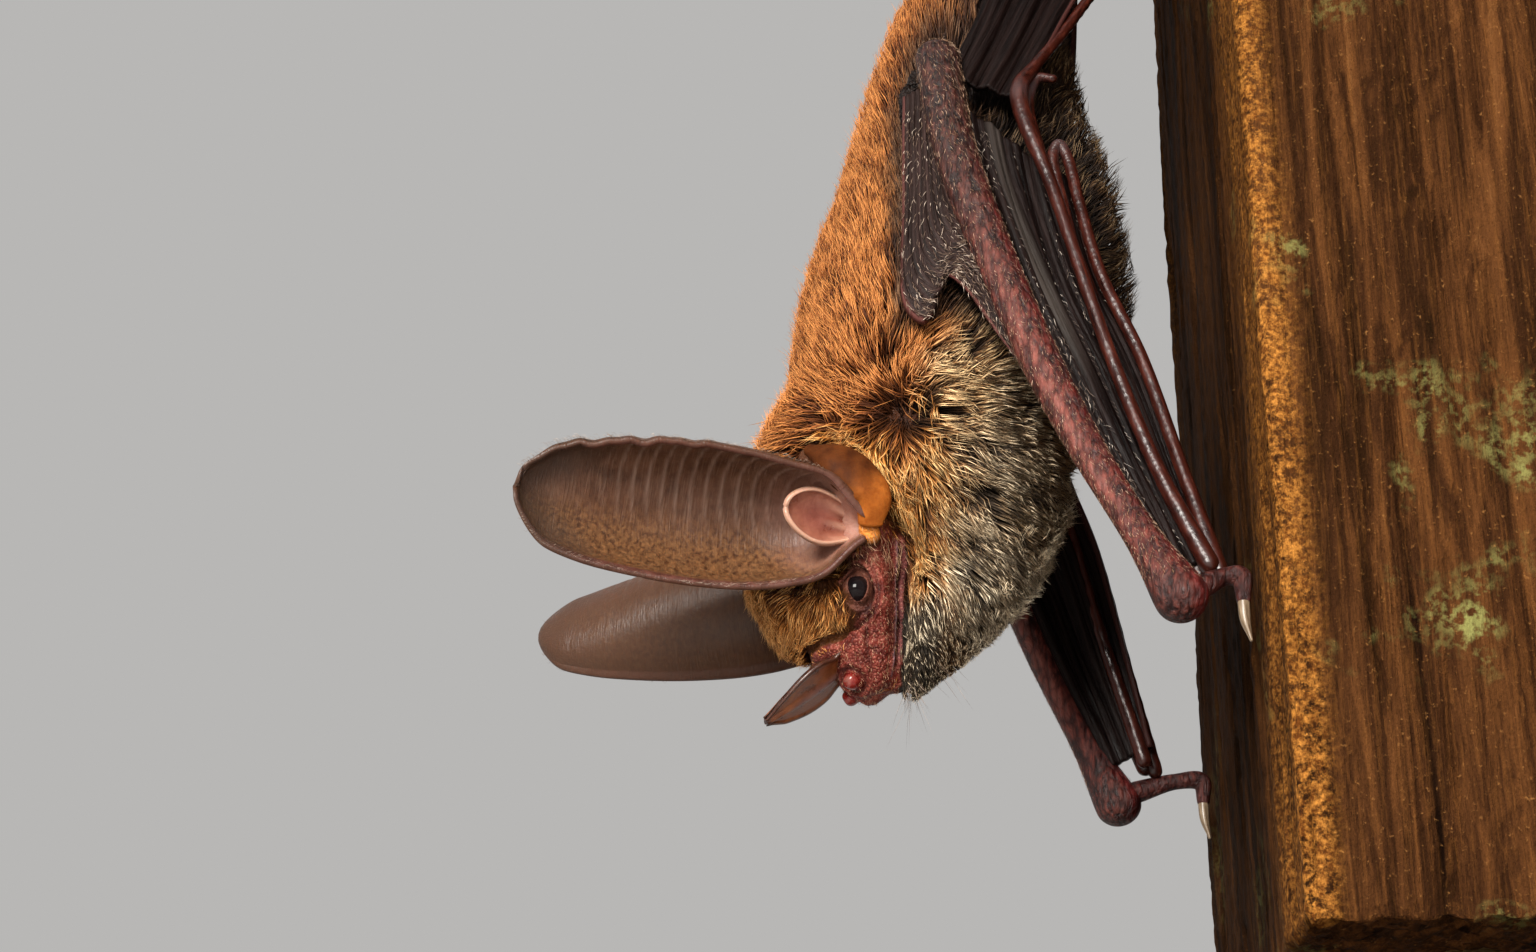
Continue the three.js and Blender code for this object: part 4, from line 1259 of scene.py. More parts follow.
wrist = (27.0, -17.4, -19.2)
forearmPlan = {
    "line": [
        (12.9, -13.6, 28.6), (13.7, -13.9, 20.5), (15.9, -14.6, 11), (18.5, -15.3, 2), (21.6, -16.2, -7),
        (24.6, -16.9, -14),
        wrist,
    ],
    "deep": [1.7, 1.75, 1.65, 1.45, 1.2, 1.15, 1.6],
    "wide": [1.6, 1.7, 1.55, 1.35, 1.15, 1.1, 1.5],
}
fingerPlan = {
    3: {
        "line": [
            (29.9, -16.5, -16.8), (28.3, -15.7, -9.1), (26.2, -14.7, 1.2), (24.0, -14.1, 8.4),
            (22.9, -13.6, 14.8), (22.2, -13.2, 19.9), (21.7, -13.2, 20.9), (21.2, -13.3, 19.9),
            (21.7, -13.6, 14.8), (22.5, -13.9, 9.4),
        ],
        "thick": [0.6, 0.5, 0.48, 0.45, 0.45, 0.45, 0.45, 0.45, 0.42, 0.35],
        "joint": (21.7, -13.2, 20.9),
    },
    4: {
        "line": [
            (28.9, -15.0, -16.6), (25.9, -14.2, -5), (23.4, -13.3, 7), (20.6, -12.2, 20),
            (19.8, -12.0, 26), (20.6, -12.2, 28.0), (21.7, -12.4, 27.8),
        ],
        "thick": [0.6, 0.48, 0.45, 0.45, 0.45, 0.4, 0.35],
        "joint": (20.0, -12.1, 27.0),
    },
    5: {
        "line": [
            (29.2, -16.7, -16.4), (26.5, -16.2, -9.0), (24.0, -15.5, 0.6), (20.9, -14.4, 15.8),
            (18.9, -13.6, 25.4), (20.3, -12.4, 28.9), (22.9, -11.4, 33.2), (25.9, -10.4, 38.4),
        ],
        "thick": [0.7, 0.55, 0.5, 0.5, 0.7, 0.5, 0.45, 0.4],
        "joint": (18.9, -13.6, 25.4),
    },
}


def armRelief(t, angle):
    muscle = 0.10 * np.sin(angle * 2 + 5 * t) * ease(0.7, 0.3, t)
    folds = 0.035 * np.sin(150 * t + 3 * np.sin(angle)) * hump(t, 0.02, 0.1)
    tendon = 0.10 * hump(np.sin(angle - 0.6), 1, 0.25) * ease(0.4, 0.7, t)
    return muscle + folds + tendon


def makeForearm():
    plan = forearmPlan
    arm = drawOut("forearm_skin_left", plan["line"], plan["deep"], plan["wide"], 36, 220, armRelief, 12)
    points = toBat(getPoints(arm))
    x, _, z = points.T
    fromWrist = points - np.array(wrist)
    knob = 0.28 * hump(np.linalg.norm(fromWrist, axis=1), 0, 2.6)
    points += unit(fromWrist) * knob[:, None]
    setPoints(arm, toPart(points))
    middle = np.interp(z, [-19, 28], [0, 1])
    lineX, _, lineZ = np.array(plan["line"][::-1]).T
    beside = x - np.interp(z, lineZ, lineX)
    setMask(arm, "brown", np.clip(ease(0.4, 0.85, middle) * 0.85 + 0.5 * ease(0.06, 0.0, middle), 0, 1))
    setMask(arm, "red", 0.9 * ease(0.2, 1.2, beside) * ease(1.0, 0.6, middle))
    # where the painted highlight lies, along the outer edge
    setMask(arm, "glow", 0.38 * hump(beside, -0.75, 0.45) * ease(0.05, 0.2, middle) * ease(0.8, 0.5, middle))
    return arm


def makeThumb(side):  # the beam is turned a little, so each thumb has its own reach
    low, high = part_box("thumb_" + side)
    corners = [Vector((x, y, z)) for x in (low.x, high.x) for y in (low.y, high.y) for z in (low.z, high.z)]
    reach = max((batFrame.inverted() @ corner).x for corner in corners) - 0.55
    start = wrist[0] + 1.4
    sign = -1 if side == "left" else 1
    y = sign * 17
    thumbLine = [
        (start, sign * 17.2, -18.3),
        (start + 0.6 * (reach - start), y, -17.5),
        (reach, y, -17.5),
        (reach + 0.05, y, -19.1),
    ]
    thumb = drawOut("thumb_skin_" + side, thumbLine, [0.85, 0.62, 0.72, 0.5], None, 16, 60)
    setEven(thumb, brown=0.6, red=0.2, glow=0)
    clawLine = [(reach + 0.05, y, -18.9), (reach + 0.02, y, -20.6), (reach + 0.28, y, -22.1)]
    claw = drawOut("claw_" + side, clawLine, [0.42, 0.36, 0.12], None, 12, 30)
    finishPiece(claw, clawPaint, ["thumb_claw_" + side])
    return thumb


def makeFinger(number):
    plan = fingerPlan[number]

    def relief(t, angle):
        return 0.035 * np.sin(260 * t) * hump(np.cos(angle), 1, 0.8)

    name, rings = f"finger_{number}_skin_left", 40 * len(plan["line"])
    piece = drawOut(name, plan["line"], plan["thick"], None, 14, rings, relief)
    fromJoint = np.linalg.norm(toBat(getPoints(piece)) - np.array(plan["joint"]), axis=1)
    setMask(piece, "knuckle", 0.8 * hump(fromJoint, 0, 0.9))
    return piece


leftArm = makeForearm()
limbs = [leftArm, mirrored(leftArm, "forearm_skin_right"), makeThumb("left"), makeThumb("right")]
for number in (5, 4, 3):
    finishPair(makeFinger(number), fingerPaint, f"finger_{number}")
print("arms and fingers made")

# ---- legs, feet and tail ----

legPlan = {
    "knee": (18.0, -13.5, 55),
    "ankle": (27.0, -11, 70),
    "shin": [1.35, 1.05, 0.95],
    "footSwell": 0.08,
    "tailSwell": 0.06,
    "spurSwell": 0.05,
}


def roundedCopy(node, name, distance):
    # A rounded copy of a plain solid, swollen back to the size it had.
    copy = looseCopy(node, name)
    modify(copy, "SUBSURF", levels=2, render_levels=2)
    swell(copy, distance)
    return copy


def makeLegs():
    pieces = []
    for sideName, sign in (("left", 1), ("right", -1)):
        knee, ankle = (np.array(legPlan[name]) * (1, sign, 1) for name in ("knee", "ankle"))
        line = [knee, (knee + ankle) / 2, ankle]
        shin = drawOut("shin_skin_" + sideName, line, legPlan["shin"], None, 18, 70, armRelief)
        foot = roundedCopy("foot_" + sideName, "foot_skin_" + sideName, legPlan["footSwell"])
        for piece in (shin, foot):
            setEven(piece, brown=0.8, red=0, glow=0)
            pieces.append(piece)
    return pieces


limbs += makeLegs()
finishPiece(roundedCopy("tail", "tail_skin", legPlan["tailSwell"]), fingerPaint, ["tail"])
for sideName in ("left", "right"):
    spur = roundedCopy("spur_" + sideName, "spur_skin_" + sideName, legPlan["spurSwell"])
    finishPiece(spur, fingerPaint, ["spur_" + sideName])
print("legs and tail made")


coatMasks = ("pale", "ash", "gold", "shadedFur", "dark")
faceMasks = ("bare", "lid", "lip", "crease", "nostril", "orange")


def joinLimbs():
    # The bare limbs join the skin, with their own finish, so that flesh is one piece.
    for limb in limbs:
        setEven(limb, **dict.fromkeys(coatMasks + faceMasks, 0))
        limb.data.materials.clear()
        limb.data.materials.append(armPaint)
    skin.data.materials.clear()
    skin.data.materials.append(skinPaint)
    joinInto(skin, limbs)
    bpy.ops.object.shade_smooth()


# ---- the coat ----

coatPatches = {  # slot, tufts per square millimetre, and the patch's place
    "coat_brow": ("fur", 42, lambda x, y, z: (z < -6) & (x < 9.3)),
    "coat_throat": ("throat_fur", 52, lambda x, y, z: (z < -3) & (x >= 9.3)),
    "coat_nape": ("fur", 34, lambda x, y, z: (z >= -6) & (z < 5) & (x < 9.3)),
    "coat_neck_left": ("throat_fur", 46, lambda x, y, z: (z >= -3) & (z < 5) & (x >= 9.3) & (y < 0)),
    "coat_neck_right": ("throat_fur", 24, lambda x, y, z: (z >= -3) & (z < 5) & (x >= 9.3) & (y >= 0)),
    "coat_back_left": ("fur", 32, lambda x, y, z: (z >= 5) & (z < 26) & (x < 14.5) & (y < 0)),
    "coat_back_right": ("fur", 15, lambda x, y, z: (z >= 5) & (z < 26) & (x < 14.5) & (y >= 0)),
    "coat_belly": ("throat_fur", 7, lambda x, y, z: (z >= 5) & (x >= 14.5)),
    "coat_rump": ("fur", 14, lambda x, y, z: (z >= 26) & (x < 14.5)),
}
tuftPlan = {
    "width": 0.105,
    "bed": 0.15,  # how deep a root sits in the skin
    "perLock": 20,  # tufts that lean together
    "gather": {"back": 0.14, "throat": 0.50},
    "guard": {"back": 0.58, "throat": 0.50},  # share of tufts with bright tips that stand above the rest
    "wander": {"hair": 0.13, "lock": 0.20},
    "height": {"middle": (0.45, 0.95), "tip": (0.66, 1.12)},  # shares of the coat's depth
    "bend": 0.68,  # where along its length a tuft bends
    "shift": 1.1,  # how far a lock strays from the stream at its place
    "webSide": 12.6,  # the coat stays inside the folded wings
    "patch": 0.003,  # the square of its UV map that each tuft covers
    "lockHeight": (0.86, 1.14),
    "length": (0.7, 1.12),
    "stray": {"share": 0.02, "height": 1.35},
    "rise": {"guard": 1.06, "under": 0.88},
}


def skinPatch(name, inside):
    # A copy of part of the skin, unwrapped on its own.
    only(skin)
    bpy.ops.object.duplicate()
    patch = bpy.context.object
    patch.name = name + "_roots"
    centres = np.zeros(len(patch.data.polygons) * 3)
    patch.data.polygons.foreach_get("center", centres)
    x, y, z = toBat(centres.reshape(-1, 3)).T
    pick(patch, "FACE", ~inside(x, y, z))
    bpy.ops.mesh.delete(type="FACE")
    bpy.ops.mesh.select_all(action="SELECT")
    bpy.ops.uv.smart_project(angle_limit=math.radians(66), island_margin=0.002)
    bpy.ops.object.mode_set(mode="OBJECT")
    return patch


def sowRoots(patch, density):
    # Roots spread over the patch by area, each with its normal and its place on the unwrap.
    count = len(patch.data.polygons)
    corners, uv = getCorners(patch)
    corners, uv = corners.reshape(count, 3), uv.reshape(count, 3, 2)
    points, normals = toBat(getPoints(patch)), batNormals(patch)
    a, b, c = (points[corners[:, k]] for k in range(3))
    area = np.linalg.norm(np.cross(b - a, c - a), axis=1) / 2
    depth = coatDepth(points)[corners].mean(1)
    middle = points[corners].mean(1)
    dense = 1 + 0.9 * byParting(middle, 3)
    wanted = area * density * dense * ease(0.05, 0.35, depth)
    number = np.floor(wanted + draw.random(count)).astype(int)
    face = np.repeat(np.arange(count), number)
    share = draw.random((len(face), 2))
    share = np.where(share.sum(1, keepdims=True) > 1, 1 - share, share)
    weight = np.column_stack([1 - share.sum(1), share])[:, :, None]
    roots = (points[corners[face]] * weight).sum(1)
    return roots, unit((normals[corners[face]] * weight).sum(1)), (uv[face] * weight).sum(1)


def onSkin(places):  # the nearest places on the skin, and which way it faces there
    found = [skinTree.find_nearest(place) for place in places.tolist()]
    return np.array([hit[0] for hit in found]), np.array([hit[1] for hit in found])


def lockOf(roots):  # the heart of the lock that each tuft leans to, and the lock's number
    picks = draw.permutation(len(roots))[: max(4, len(roots) // tuftPlan["perLock"])]
    tree = KDTree(len(picks))
    for index, pick in enumerate(picks):
        tree.insert(roots[pick], index)
    tree.balance()
    lock = np.array([tree.find(root)[1] for root in roots])
    return picks[lock], lock


def makeBlades(name, stations, tips, across, normals, width, uv, masks):
    # One thin three-sided blade for each tuft: two rings of three corners, then its tip.
    total = len(tips)
    points, tipShare, edge = [], [], []
    for centre, size, share in stations:
        for turn in range(3):
            angle = turn * 2 * math.pi / 3
            offset = across * (math.cos(angle) * width * size / 2)[:, None]
            offset += normals * (math.sin(angle) * width * size / 4)[:, None]
            points.append(centre + offset)
            tipShare.append(np.full(total, share))
            edge.append(np.full(total, math.cos(angle)))
    points.append(tips)
    tipShare.append(np.ones(total))
    edge.append(np.zeros(total))
    corners = len(points)
    points = np.stack(points, 1).reshape(-1, 3)
    tipShare = np.stack(tipShare, 1).ravel()
    edge = np.stack(edge, 1).ravel()
    faces = [(0, 2, 1)]
    for a, b in ((0, 1), (1, 2), (2, 0)):
        faces += [(a, b, b + 3), (a, b + 3, a + 3), (a + 3, b + 3, 6)]
    triangles = (np.array(faces)[None] + corners * np.arange(total)[:, None, None]).reshape(-1, 3)
    mesh = bpy.data.meshes.new(name)
    mesh.vertices.add(len(points))
    mesh.vertices.foreach_set("co", toPart(points).astype(np.float32).ravel())
    mesh.loops.add(triangles.size)
    mesh.loops.foreach_set("vertex_index", triangles.ravel().astype(np.int32))
    mesh.polygons.add(len(triangles))
    mesh.polygons.foreach_set("loop_start", np.arange(0, triangles.size, 3, dtype=np.int32))
    mesh.update(calc_edges=True)
    piece = bpy.data.objects.new(name, mesh)
    bpy.context.collection.objects.link(piece)
    half = tuftPlan["patch"] / 2
    spot = np.repeat(uv, corners, 0) + np.stack([edge * half, (tipShare * 2 - 1) * half], 1)
    layer = mesh.uv_layers.new(name="OFBake")
    layer.data.foreach_set("uv", spot[triangles.ravel()].astype(np.float32).ravel())
    setMask(piece, "tip", tipShare)
    for mask, values in masks.items():
        setMask(piece, mask, np.repeat(values, corners))
    return piece


def between(limits, count):
    return draw.uniform(limits[0], limits[1], count)


def blend(setting, pale):  # from the back's value to the throat's
    back, throat = tuftPlan[setting]["back"], tuftPlan[setting]["throat"]
    return back + (throat - back) * pale


def growCoat(name, density, inside):
    patch = skinPatch(name, inside)
    roots, normals, uv = sowRoots(patch, density)
    bpy.data.objects.remove(patch)
    heart, lock = lockOf(roots)
    locks = lock.max() + 1
    lockTone, lockHeight = draw.random(locks), between(tuftPlan["lockHeight"], locks)
    lockTurn = draw.normal(0, tuftPlan["wander"]["lock"], locks)
    total = len(roots)
    mess = 1 + 0.9 * byParting(roots, 3) - 0.6 * markings(roots)["dark"]
    wander = (draw.normal(0, tuftPlan["wander"]["hair"], total) + lockTurn[lock]) * mess
    length = coatLength(roots) * between(tuftPlan["length"], total)
    shift = draw.normal(0, tuftPlan["shift"], (locks, 3))[lock]
    lie = coatLie(roots, normals, shift)
    heading = unit(lie + np.cross(normals, lie) * wander[:, None])
    bend = tuftPlan["bend"]
    middle, middleNormals = onSkin(roots + heading * (length * bend)[:, None])
    ahead = unit(0.6 * coatLie(middle, middleNormals, shift) + heading)
    tips, tipNormals = onSkin(middle + ahead * (length * (1 - bend))[:, None])
    stray = np.where(draw.random(total) < tuftPlan["stray"]["share"], tuftPlan["stray"]["height"], 1.0)
    middleHeight = coatDepth(middle) * between(tuftPlan["height"]["middle"], total)
    tipHeight = coatDepth(tips) * between(tuftPlan["height"]["tip"], total) * lockHeight[lock] * stray
    marks = markings(tips)
    pale = marks["pale"]
    guard = draw.random(total) < blend("guard", pale) * (1 - 0.5 * marks["dark"])
    tipHeight = tipHeight * np.where(guard, tuftPlan["rise"]["guard"], tuftPlan["rise"]["under"])
    middle += middleNormals * (middleHeight + 0.05)[:, None]
    tips += tipNormals * (tipHeight + 0.08)[:, None]
    gather = blend("gather", pale) * (1 - 0.7 * marks["dark"])
    tips += (tips[heart] - tips) * gather[:, None]
    middle += (middle[heart] - middle) * (0.35 * gather)[:, None]
    for places in (middle, tips):
        places[:, 1] = np.clip(places[:, 1], -tuftPlan["webSide"], tuftPlan["webSide"])
    far = np.linalg.norm(tips - roots, axis=1) > 1.6 * length + 1.2
    far |= (unit(middle - roots) * unit(tips - middle)).sum(1) < 0.55  # kinked where the skin folds
    clear = ~(insideEar(roots) | insideEar(middle) | insideEar(tips) | far)
    clear &= (aroundEye(middle) > 1.5) & (aroundEye(tips) > 1.4)
    clear &= (bareFace(tips) < 0.5) | (draw.random(total) < 0.12)
    clear &= (besideLobe(roots) > 0.95) & (besideLobe(middle) > 0.85) & (besideLobe(tips) > 0.55)
    keep = np.flatnonzero(clear)
    roots, normals, uv, middle, tips, length = (a[keep] for a in (roots, normals, uv, middle, tips, length))
    across = unit(np.cross(normals, tips - roots))
    width = tuftPlan["width"] * between((0.65, 1.25), len(keep)) * (0.5 + 0.5 * ease(1, 4, length))
    tone = 0.40 * lockTone[lock[keep]] + 0.20 * draw.random(len(keep))
    tone = tone * (1 - 0.8 * marks["dark"][keep]) + guard[keep] * (0.40 + 0.32 * marks["dark"][keep])
    stations = ((roots - normals * tuftPlan["bed"], 0.85, 0.0), (middle, 1.0, bend))
    masks = {"tone": tone, **markings(tips)}
    coat = makeBlades(name, stations, tips, across, normals, width, uv, masks)
    finishPiece(coat, coatPaint)
    return len(keep)


skinTree = BVHTree.FromPolygons(
    toBat(getPoints(skin)).tolist(), [tuple(polygon.vertices) for polygon in skin.data.polygons]
)
tufts = 0
for patchName, (slot, density, inside) in coatPatches.items():
    grown = growCoat(patchName, density * (1), inside)
    tufts += grown
    print(patchName, grown, "tufts,", grown * 10, "triangles")
print("coat grown:", tufts, "tufts")

# ---- bristles ----

bristlePlan = {
    "arm": {"count": 2300, "length": 0.5, "width": 0.034, "gold": 0.6, "lift": 0.15},
    "face": {"count": 1500, "length": 0.36, "width": 0.03, "gold": 0.8, "lift": 0.35},
    "chin": {"count": 60, "length": (1.6, 3.6), "width": 0.028, "gold": 0.3, "lift": 0.1},
    "ear": {"count": 700, "length": (0.25, 0.55), "width": 0.03, "gold": 0.3, "lift": 0.8},
    "web": {"width": 0.05, "lift": 0.3},
}


def growBristles(name, plan, roots, normals, heading, length, uv):
    count, lift = len(roots), plan["lift"]
    across = np.cross(normals, unit(heading))
    lean = unit(heading) + across * draw.normal(0, 0.28, count)[:, None]
    reach = (length * between((0.6, 1.3), count))[:, None]
    middle = roots + lean * reach * 0.5 + normals * (reach * lift * between((0.3, 0.9), count)[:, None])
    sway = across * draw.normal(0, 0.2, count)[:, None]
    tips = roots + (lean + sway) * reach + normals * reach * lift * 0.5
    stations = ((roots - normals * 0.05, 0.9, 0.0), (middle, 1.0, 0.5))
    masks = {"tone": draw.random(count), "gold": np.full(count, plan["gold"])}
    thin = plan["width"] * between((0.7, 1.2), count)
    return makeBlades(name, stations, tips, unit(across), normals, thin, uv, masks)


def bristleArm():
    plan = bristlePlan["arm"]
    points, normals = toBat(getPoints(leftArm)), batNormals(leftArm)
    u, v = placeOnGrid(leftArm)
    outer = np.flatnonzero((normals[:, 1] < 0.35) & (points[:, 2] > -18))
    picks = draw.permutation(outer)[: plan["count"]]
    down = np.array(wrist) - np.array(forearmPlan["line"][0])
    heading = down - normals[picks] * (normals[picks] @ down)[:, None]
    length = plan["length"] * (1 + 0.4 * ease(10, 26, points[picks, 2]))
    uv = np.stack([u[picks], v[picks]], 1)
    return growBristles("arm_bristles_left", plan, points[picks], normals[picks], heading, length, uv)


def bristleFace():  # sparse short hairs on the bare muzzle
    plan = bristlePlan["face"]
    points, normals = toBat(getPoints(skin)), batNormals(skin)
    bare = (bareFace(points) > 0.6) & (aroundEye(points) > 1.5) & (points[:, 2] < -7.2)
    picks = draw.permutation(np.flatnonzero(bare))[: plan["count"]]
    roots, normals = points[picks], normals[picks]
    heading = np.column_stack([np.full(len(picks), 0.3), np.zeros(len(picks)), -np.ones(len(picks))])
    heading -= normals * (normals * heading).sum(1)[:, None]
    length = plan["length"] + 0.9 * ease(-10.5, -8.8, roots[:, 2])
    uv = roots[:, [0, 2]] * 0.02 + 0.5
    return growBristles("face_bristles", plan, roots, normals, heading, length, uv)


def bristleChin():  # long fine whiskers on the lips and chin
    plan = bristlePlan["chin"]
    points, normals = toBat(getPoints(skin)), batNormals(skin)
    x, y, z = foldY(points).T
    chin = (z < -15.5) & (x > 9.8) & (y < 3.4) & (x < 13.5) & (normals[:, 2] < -0.1)
    picks = draw.permutation(np.flatnonzero(chin))[: plan["count"]]
    roots, normals = points[picks], normals[picks]
    length = between(plan["length"], len(picks))
    uv = roots[:, [0, 2]] * 0.02 + 0.5
    return growBristles("whiskers", plan, roots, normals, normals + (0.5, 0, -0.8), length, uv)


def bristleEar():
    plan = bristlePlan["ear"]
    u, v, roots, normals, heading = earRimPlaces(plan["count"])
    length = between(plan["length"], len(roots))
    return growBristles("ear_bristles_left", plan, roots, normals, heading, length, np.stack([u, v], 1))


finishPair(bristleArm(), bristlePaint)
finishPiece(bristleFace(), bristlePaint)
finishPiece(bristleChin(), bristlePaint)
finishPair(bristleEar(), bristlePaint)
print("arms, face and ears bristled")
joinLimbs()
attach(skin, "root")
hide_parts(*fleshNodes, *bothSides(("forearm", "thumb", "shin", "foot")))
print("limbs joined to the skin")

# ---- wing and tail webs ----

armWebPlan = {
    "edge": [
        (10.4, -13.0, 25.5), (10.0, -13.0, 16.0), (9.9, -12.9, 6.6), (11.2, -12.9, 5.3),
        (12.1, -13.2, 7.9), (12.9, -13.6, 9.0), (14.1, -14.0, 7.7), (16.7, -14.6, 2.7),
        (19.4, -15.3, -2.6),
    ],
    "held": [0.06, 0.14, 0.21, 0.25, 0.30, 0.36, 0.41, 0.51, 0.60],  # share along the forearm
}


def armWebSurface(u, v):
    held = smoothLine(forearmPlan["line"], along(armWebPlan["held"], u))
    points = held + (smoothLine(armWebPlan["edge"], u) - held) * v[:, None]
    points[:, 1] -= 0.5 * np.sin(math.pi * v)
    return points


def armWebRelief(u, v):
    return 0.08 * np.sin(46 * v + 2 * np.sin(9 * u)) * ease(0.0, 0.2, v) + 0.05 * np.sin(95 * v + 8 * u)


def handWebSurface(u, v):
    inner = smoothLine(forearmPlan["line"], 0.92 - 0.86 * u)
    outer = smoothLine(fingerPlan[3]["line"], 0.02 + 0.49 * u)
    points = inner + (outer - inner) * v[:, None]
    depth = 0.15 + 0.4 * np.sin(math.pi * u)
    points[:, 1] += 0.4 + 0.9 * v + depth * np.sin(4 * math.pi * v)
    return points


def handWebRelief(u, v):
    return 0.16 * np.sin(34 * v + 2.5 * np.sin(4 * u)) + 0.07 * np.sin(90 * v + 3 * u)


sideWebPlan = {  # the x, y and z of its two edges, from the elbow down to the foot
    "flank": ([13.5, 16.5, 18.5, 19.5, 25], [-12.9, -12.4, -11, -13.3, -11.8], [27.6, 35, 43, 56, 67.5]),
    "edge": ([18.8, 22.5, 26, 27.5, 28.2], [-12.6, -11.8, -10.6, -11, -11.4], [25.7, 33, 42, 55, 66.5]),
}


def sideWebSurface(u, v):
    flank, edge = (np.stack([along(row, u) for row in rows], 1) for rows in sideWebPlan.values())
    return flank + (edge - flank) * v[:, None]


def sideWebRelief(u, v):
    return 0.30 * np.sin(18 * v + 1.5 * np.sin(5 * u)) * np.sin(math.pi * v) + 0.08 * np.sin(60 * v + 5 * u)


def tailWebSurface(u, v):
    across = v * 2 - 1
    sag = 1 - np.cos(across * math.pi / 2)
    notch = 8 * u * np.abs(across) * (1 - np.abs(across))
    return np.stack(
        [
            along([18.2, 19.2, 21.0, 23.6, 26.0], u) - 1.6 * sag * u,
            along([5.2, 11.2, 12.2, 11.2, 9.4], u) * across,
            along([47.5, 53.5, 59.5, 65, 69.4], u) - notch,
        ],
        1,
    )


def tailWebRelief(u, v):
    return 0.16 * np.sin(44 * u + 2 * np.cos(6 * v)) * np.sin(math.pi * v) + 0.05 * np.sin(110 * u)


def webThick(u, v):
    return 0.36 + 0.22 * ease(0.955, 0.985, v)


webs = {  # shape, relief, columns, rows, finish, smooth grey band, hem
    "arm_web": (armWebSurface, armWebRelief, 220, 60, armWebPaint, 0, 1),
    "hand_web": (handWebSurface, handWebRelief, 150, 100, handWebPaint, 1, 0.3),
    "side_web": (sideWebSurface, sideWebRelief, 110, 50, handWebPaint, 0, 0.5),
    "tail_web": (tailWebSurface, tailWebRelief, 90, 90, tailWebPaint, 0, 0),
}
for webName, (surface, relief, columns, rows, paint, band, hem) in webs.items():
    ending = "" if webName == "tail_web" else "_left"
    web = spread(webName + "_skin" + ending, surface, columns, rows, webThick, relief)
    u, v = placeOnGrid(web)
    setMask(web, "band", band * hump(v, 0.40, 0.045) * ease(0.35, 0.6, u))
    setMask(web, "hem", hem * ease(0.955, 0.975, v))
    finishPiece(web, paint, [webName + ending])
    if ending:
        finishPiece(mirrored(web, webName + "_skin_right"), paint, [webName + "_right"])
print("webs made")

# Rows of short pale hairs stand along the webs' fibres.
rowPlan = {  # surface, rows, the part of the web they cover, hairs in a row, length, gold
    "arm_rows": (armWebSurface, 17, (0.06, 0.97), 60, 0.75, 0.25),
    "hand_rows": (handWebSurface, 5, (0.10, 0.95), 95, 0.6, 0.1),
    "gap_curls": (handWebSurface, 4, (0.19, 0.33), 60, 0.8, 0.1),
    "edge_rows": (armWebSurface, 3, (0.86, 0.97), 65, 0.7, 0.3),
}


def growRows(name, surface, rows, covered, hairs, length, gold):
    row, spot = np.meshgrid(np.linspace(*covered, rows), np.linspace(0.03, 0.97, hairs))
    v = np.clip(row.ravel() + draw.normal(0, 0.008, row.size), 0.01, 0.99)
    u = np.clip(spot.ravel() + draw.normal(0, 0.006, row.size), 0.01, 0.99)
    alongU, alongV = slopes(surface, u, v)
    normals = unit(np.cross(alongU, alongV))
    normals *= np.where(normals[:, 1:2] > 0, -1, 1)
    heading = np.where(alongU[:, 2:3] > 0, -alongU, alongU)
    roots = surface(u, v) + normals * 0.22
    plan = {**bristlePlan["web"], "gold": gold}
    return growBristles(
        name + "_left", plan, roots, normals, heading, np.full(len(roots), length), np.stack([u, v], 1)
    )


for rowName, settings in rowPlan.items():
    finishPair(growRows(rowName, *settings), bristlePaint)
print("webs bristled")

# ---- beam and stand ----

beamPlan = {"turn": math.radians(-4), "thick": 24, "width": 56, "wear": 1.1, "cracks": 0.7, "voxel": 0.75}
standPlan = {"corner": 10, "rim": 1.2, "rodRim": 0.3, "sharp": math.radians(35)}


def makeBlock(name, node, size):  # a block at the middle of a solid
    block = addPiece(name, bpy.ops.mesh.primitive_cube_add, size=1, location=centreOf(node))
    block.scale = size
    bpy.ops.object.transform_apply(location=True, scale=True)
    return block


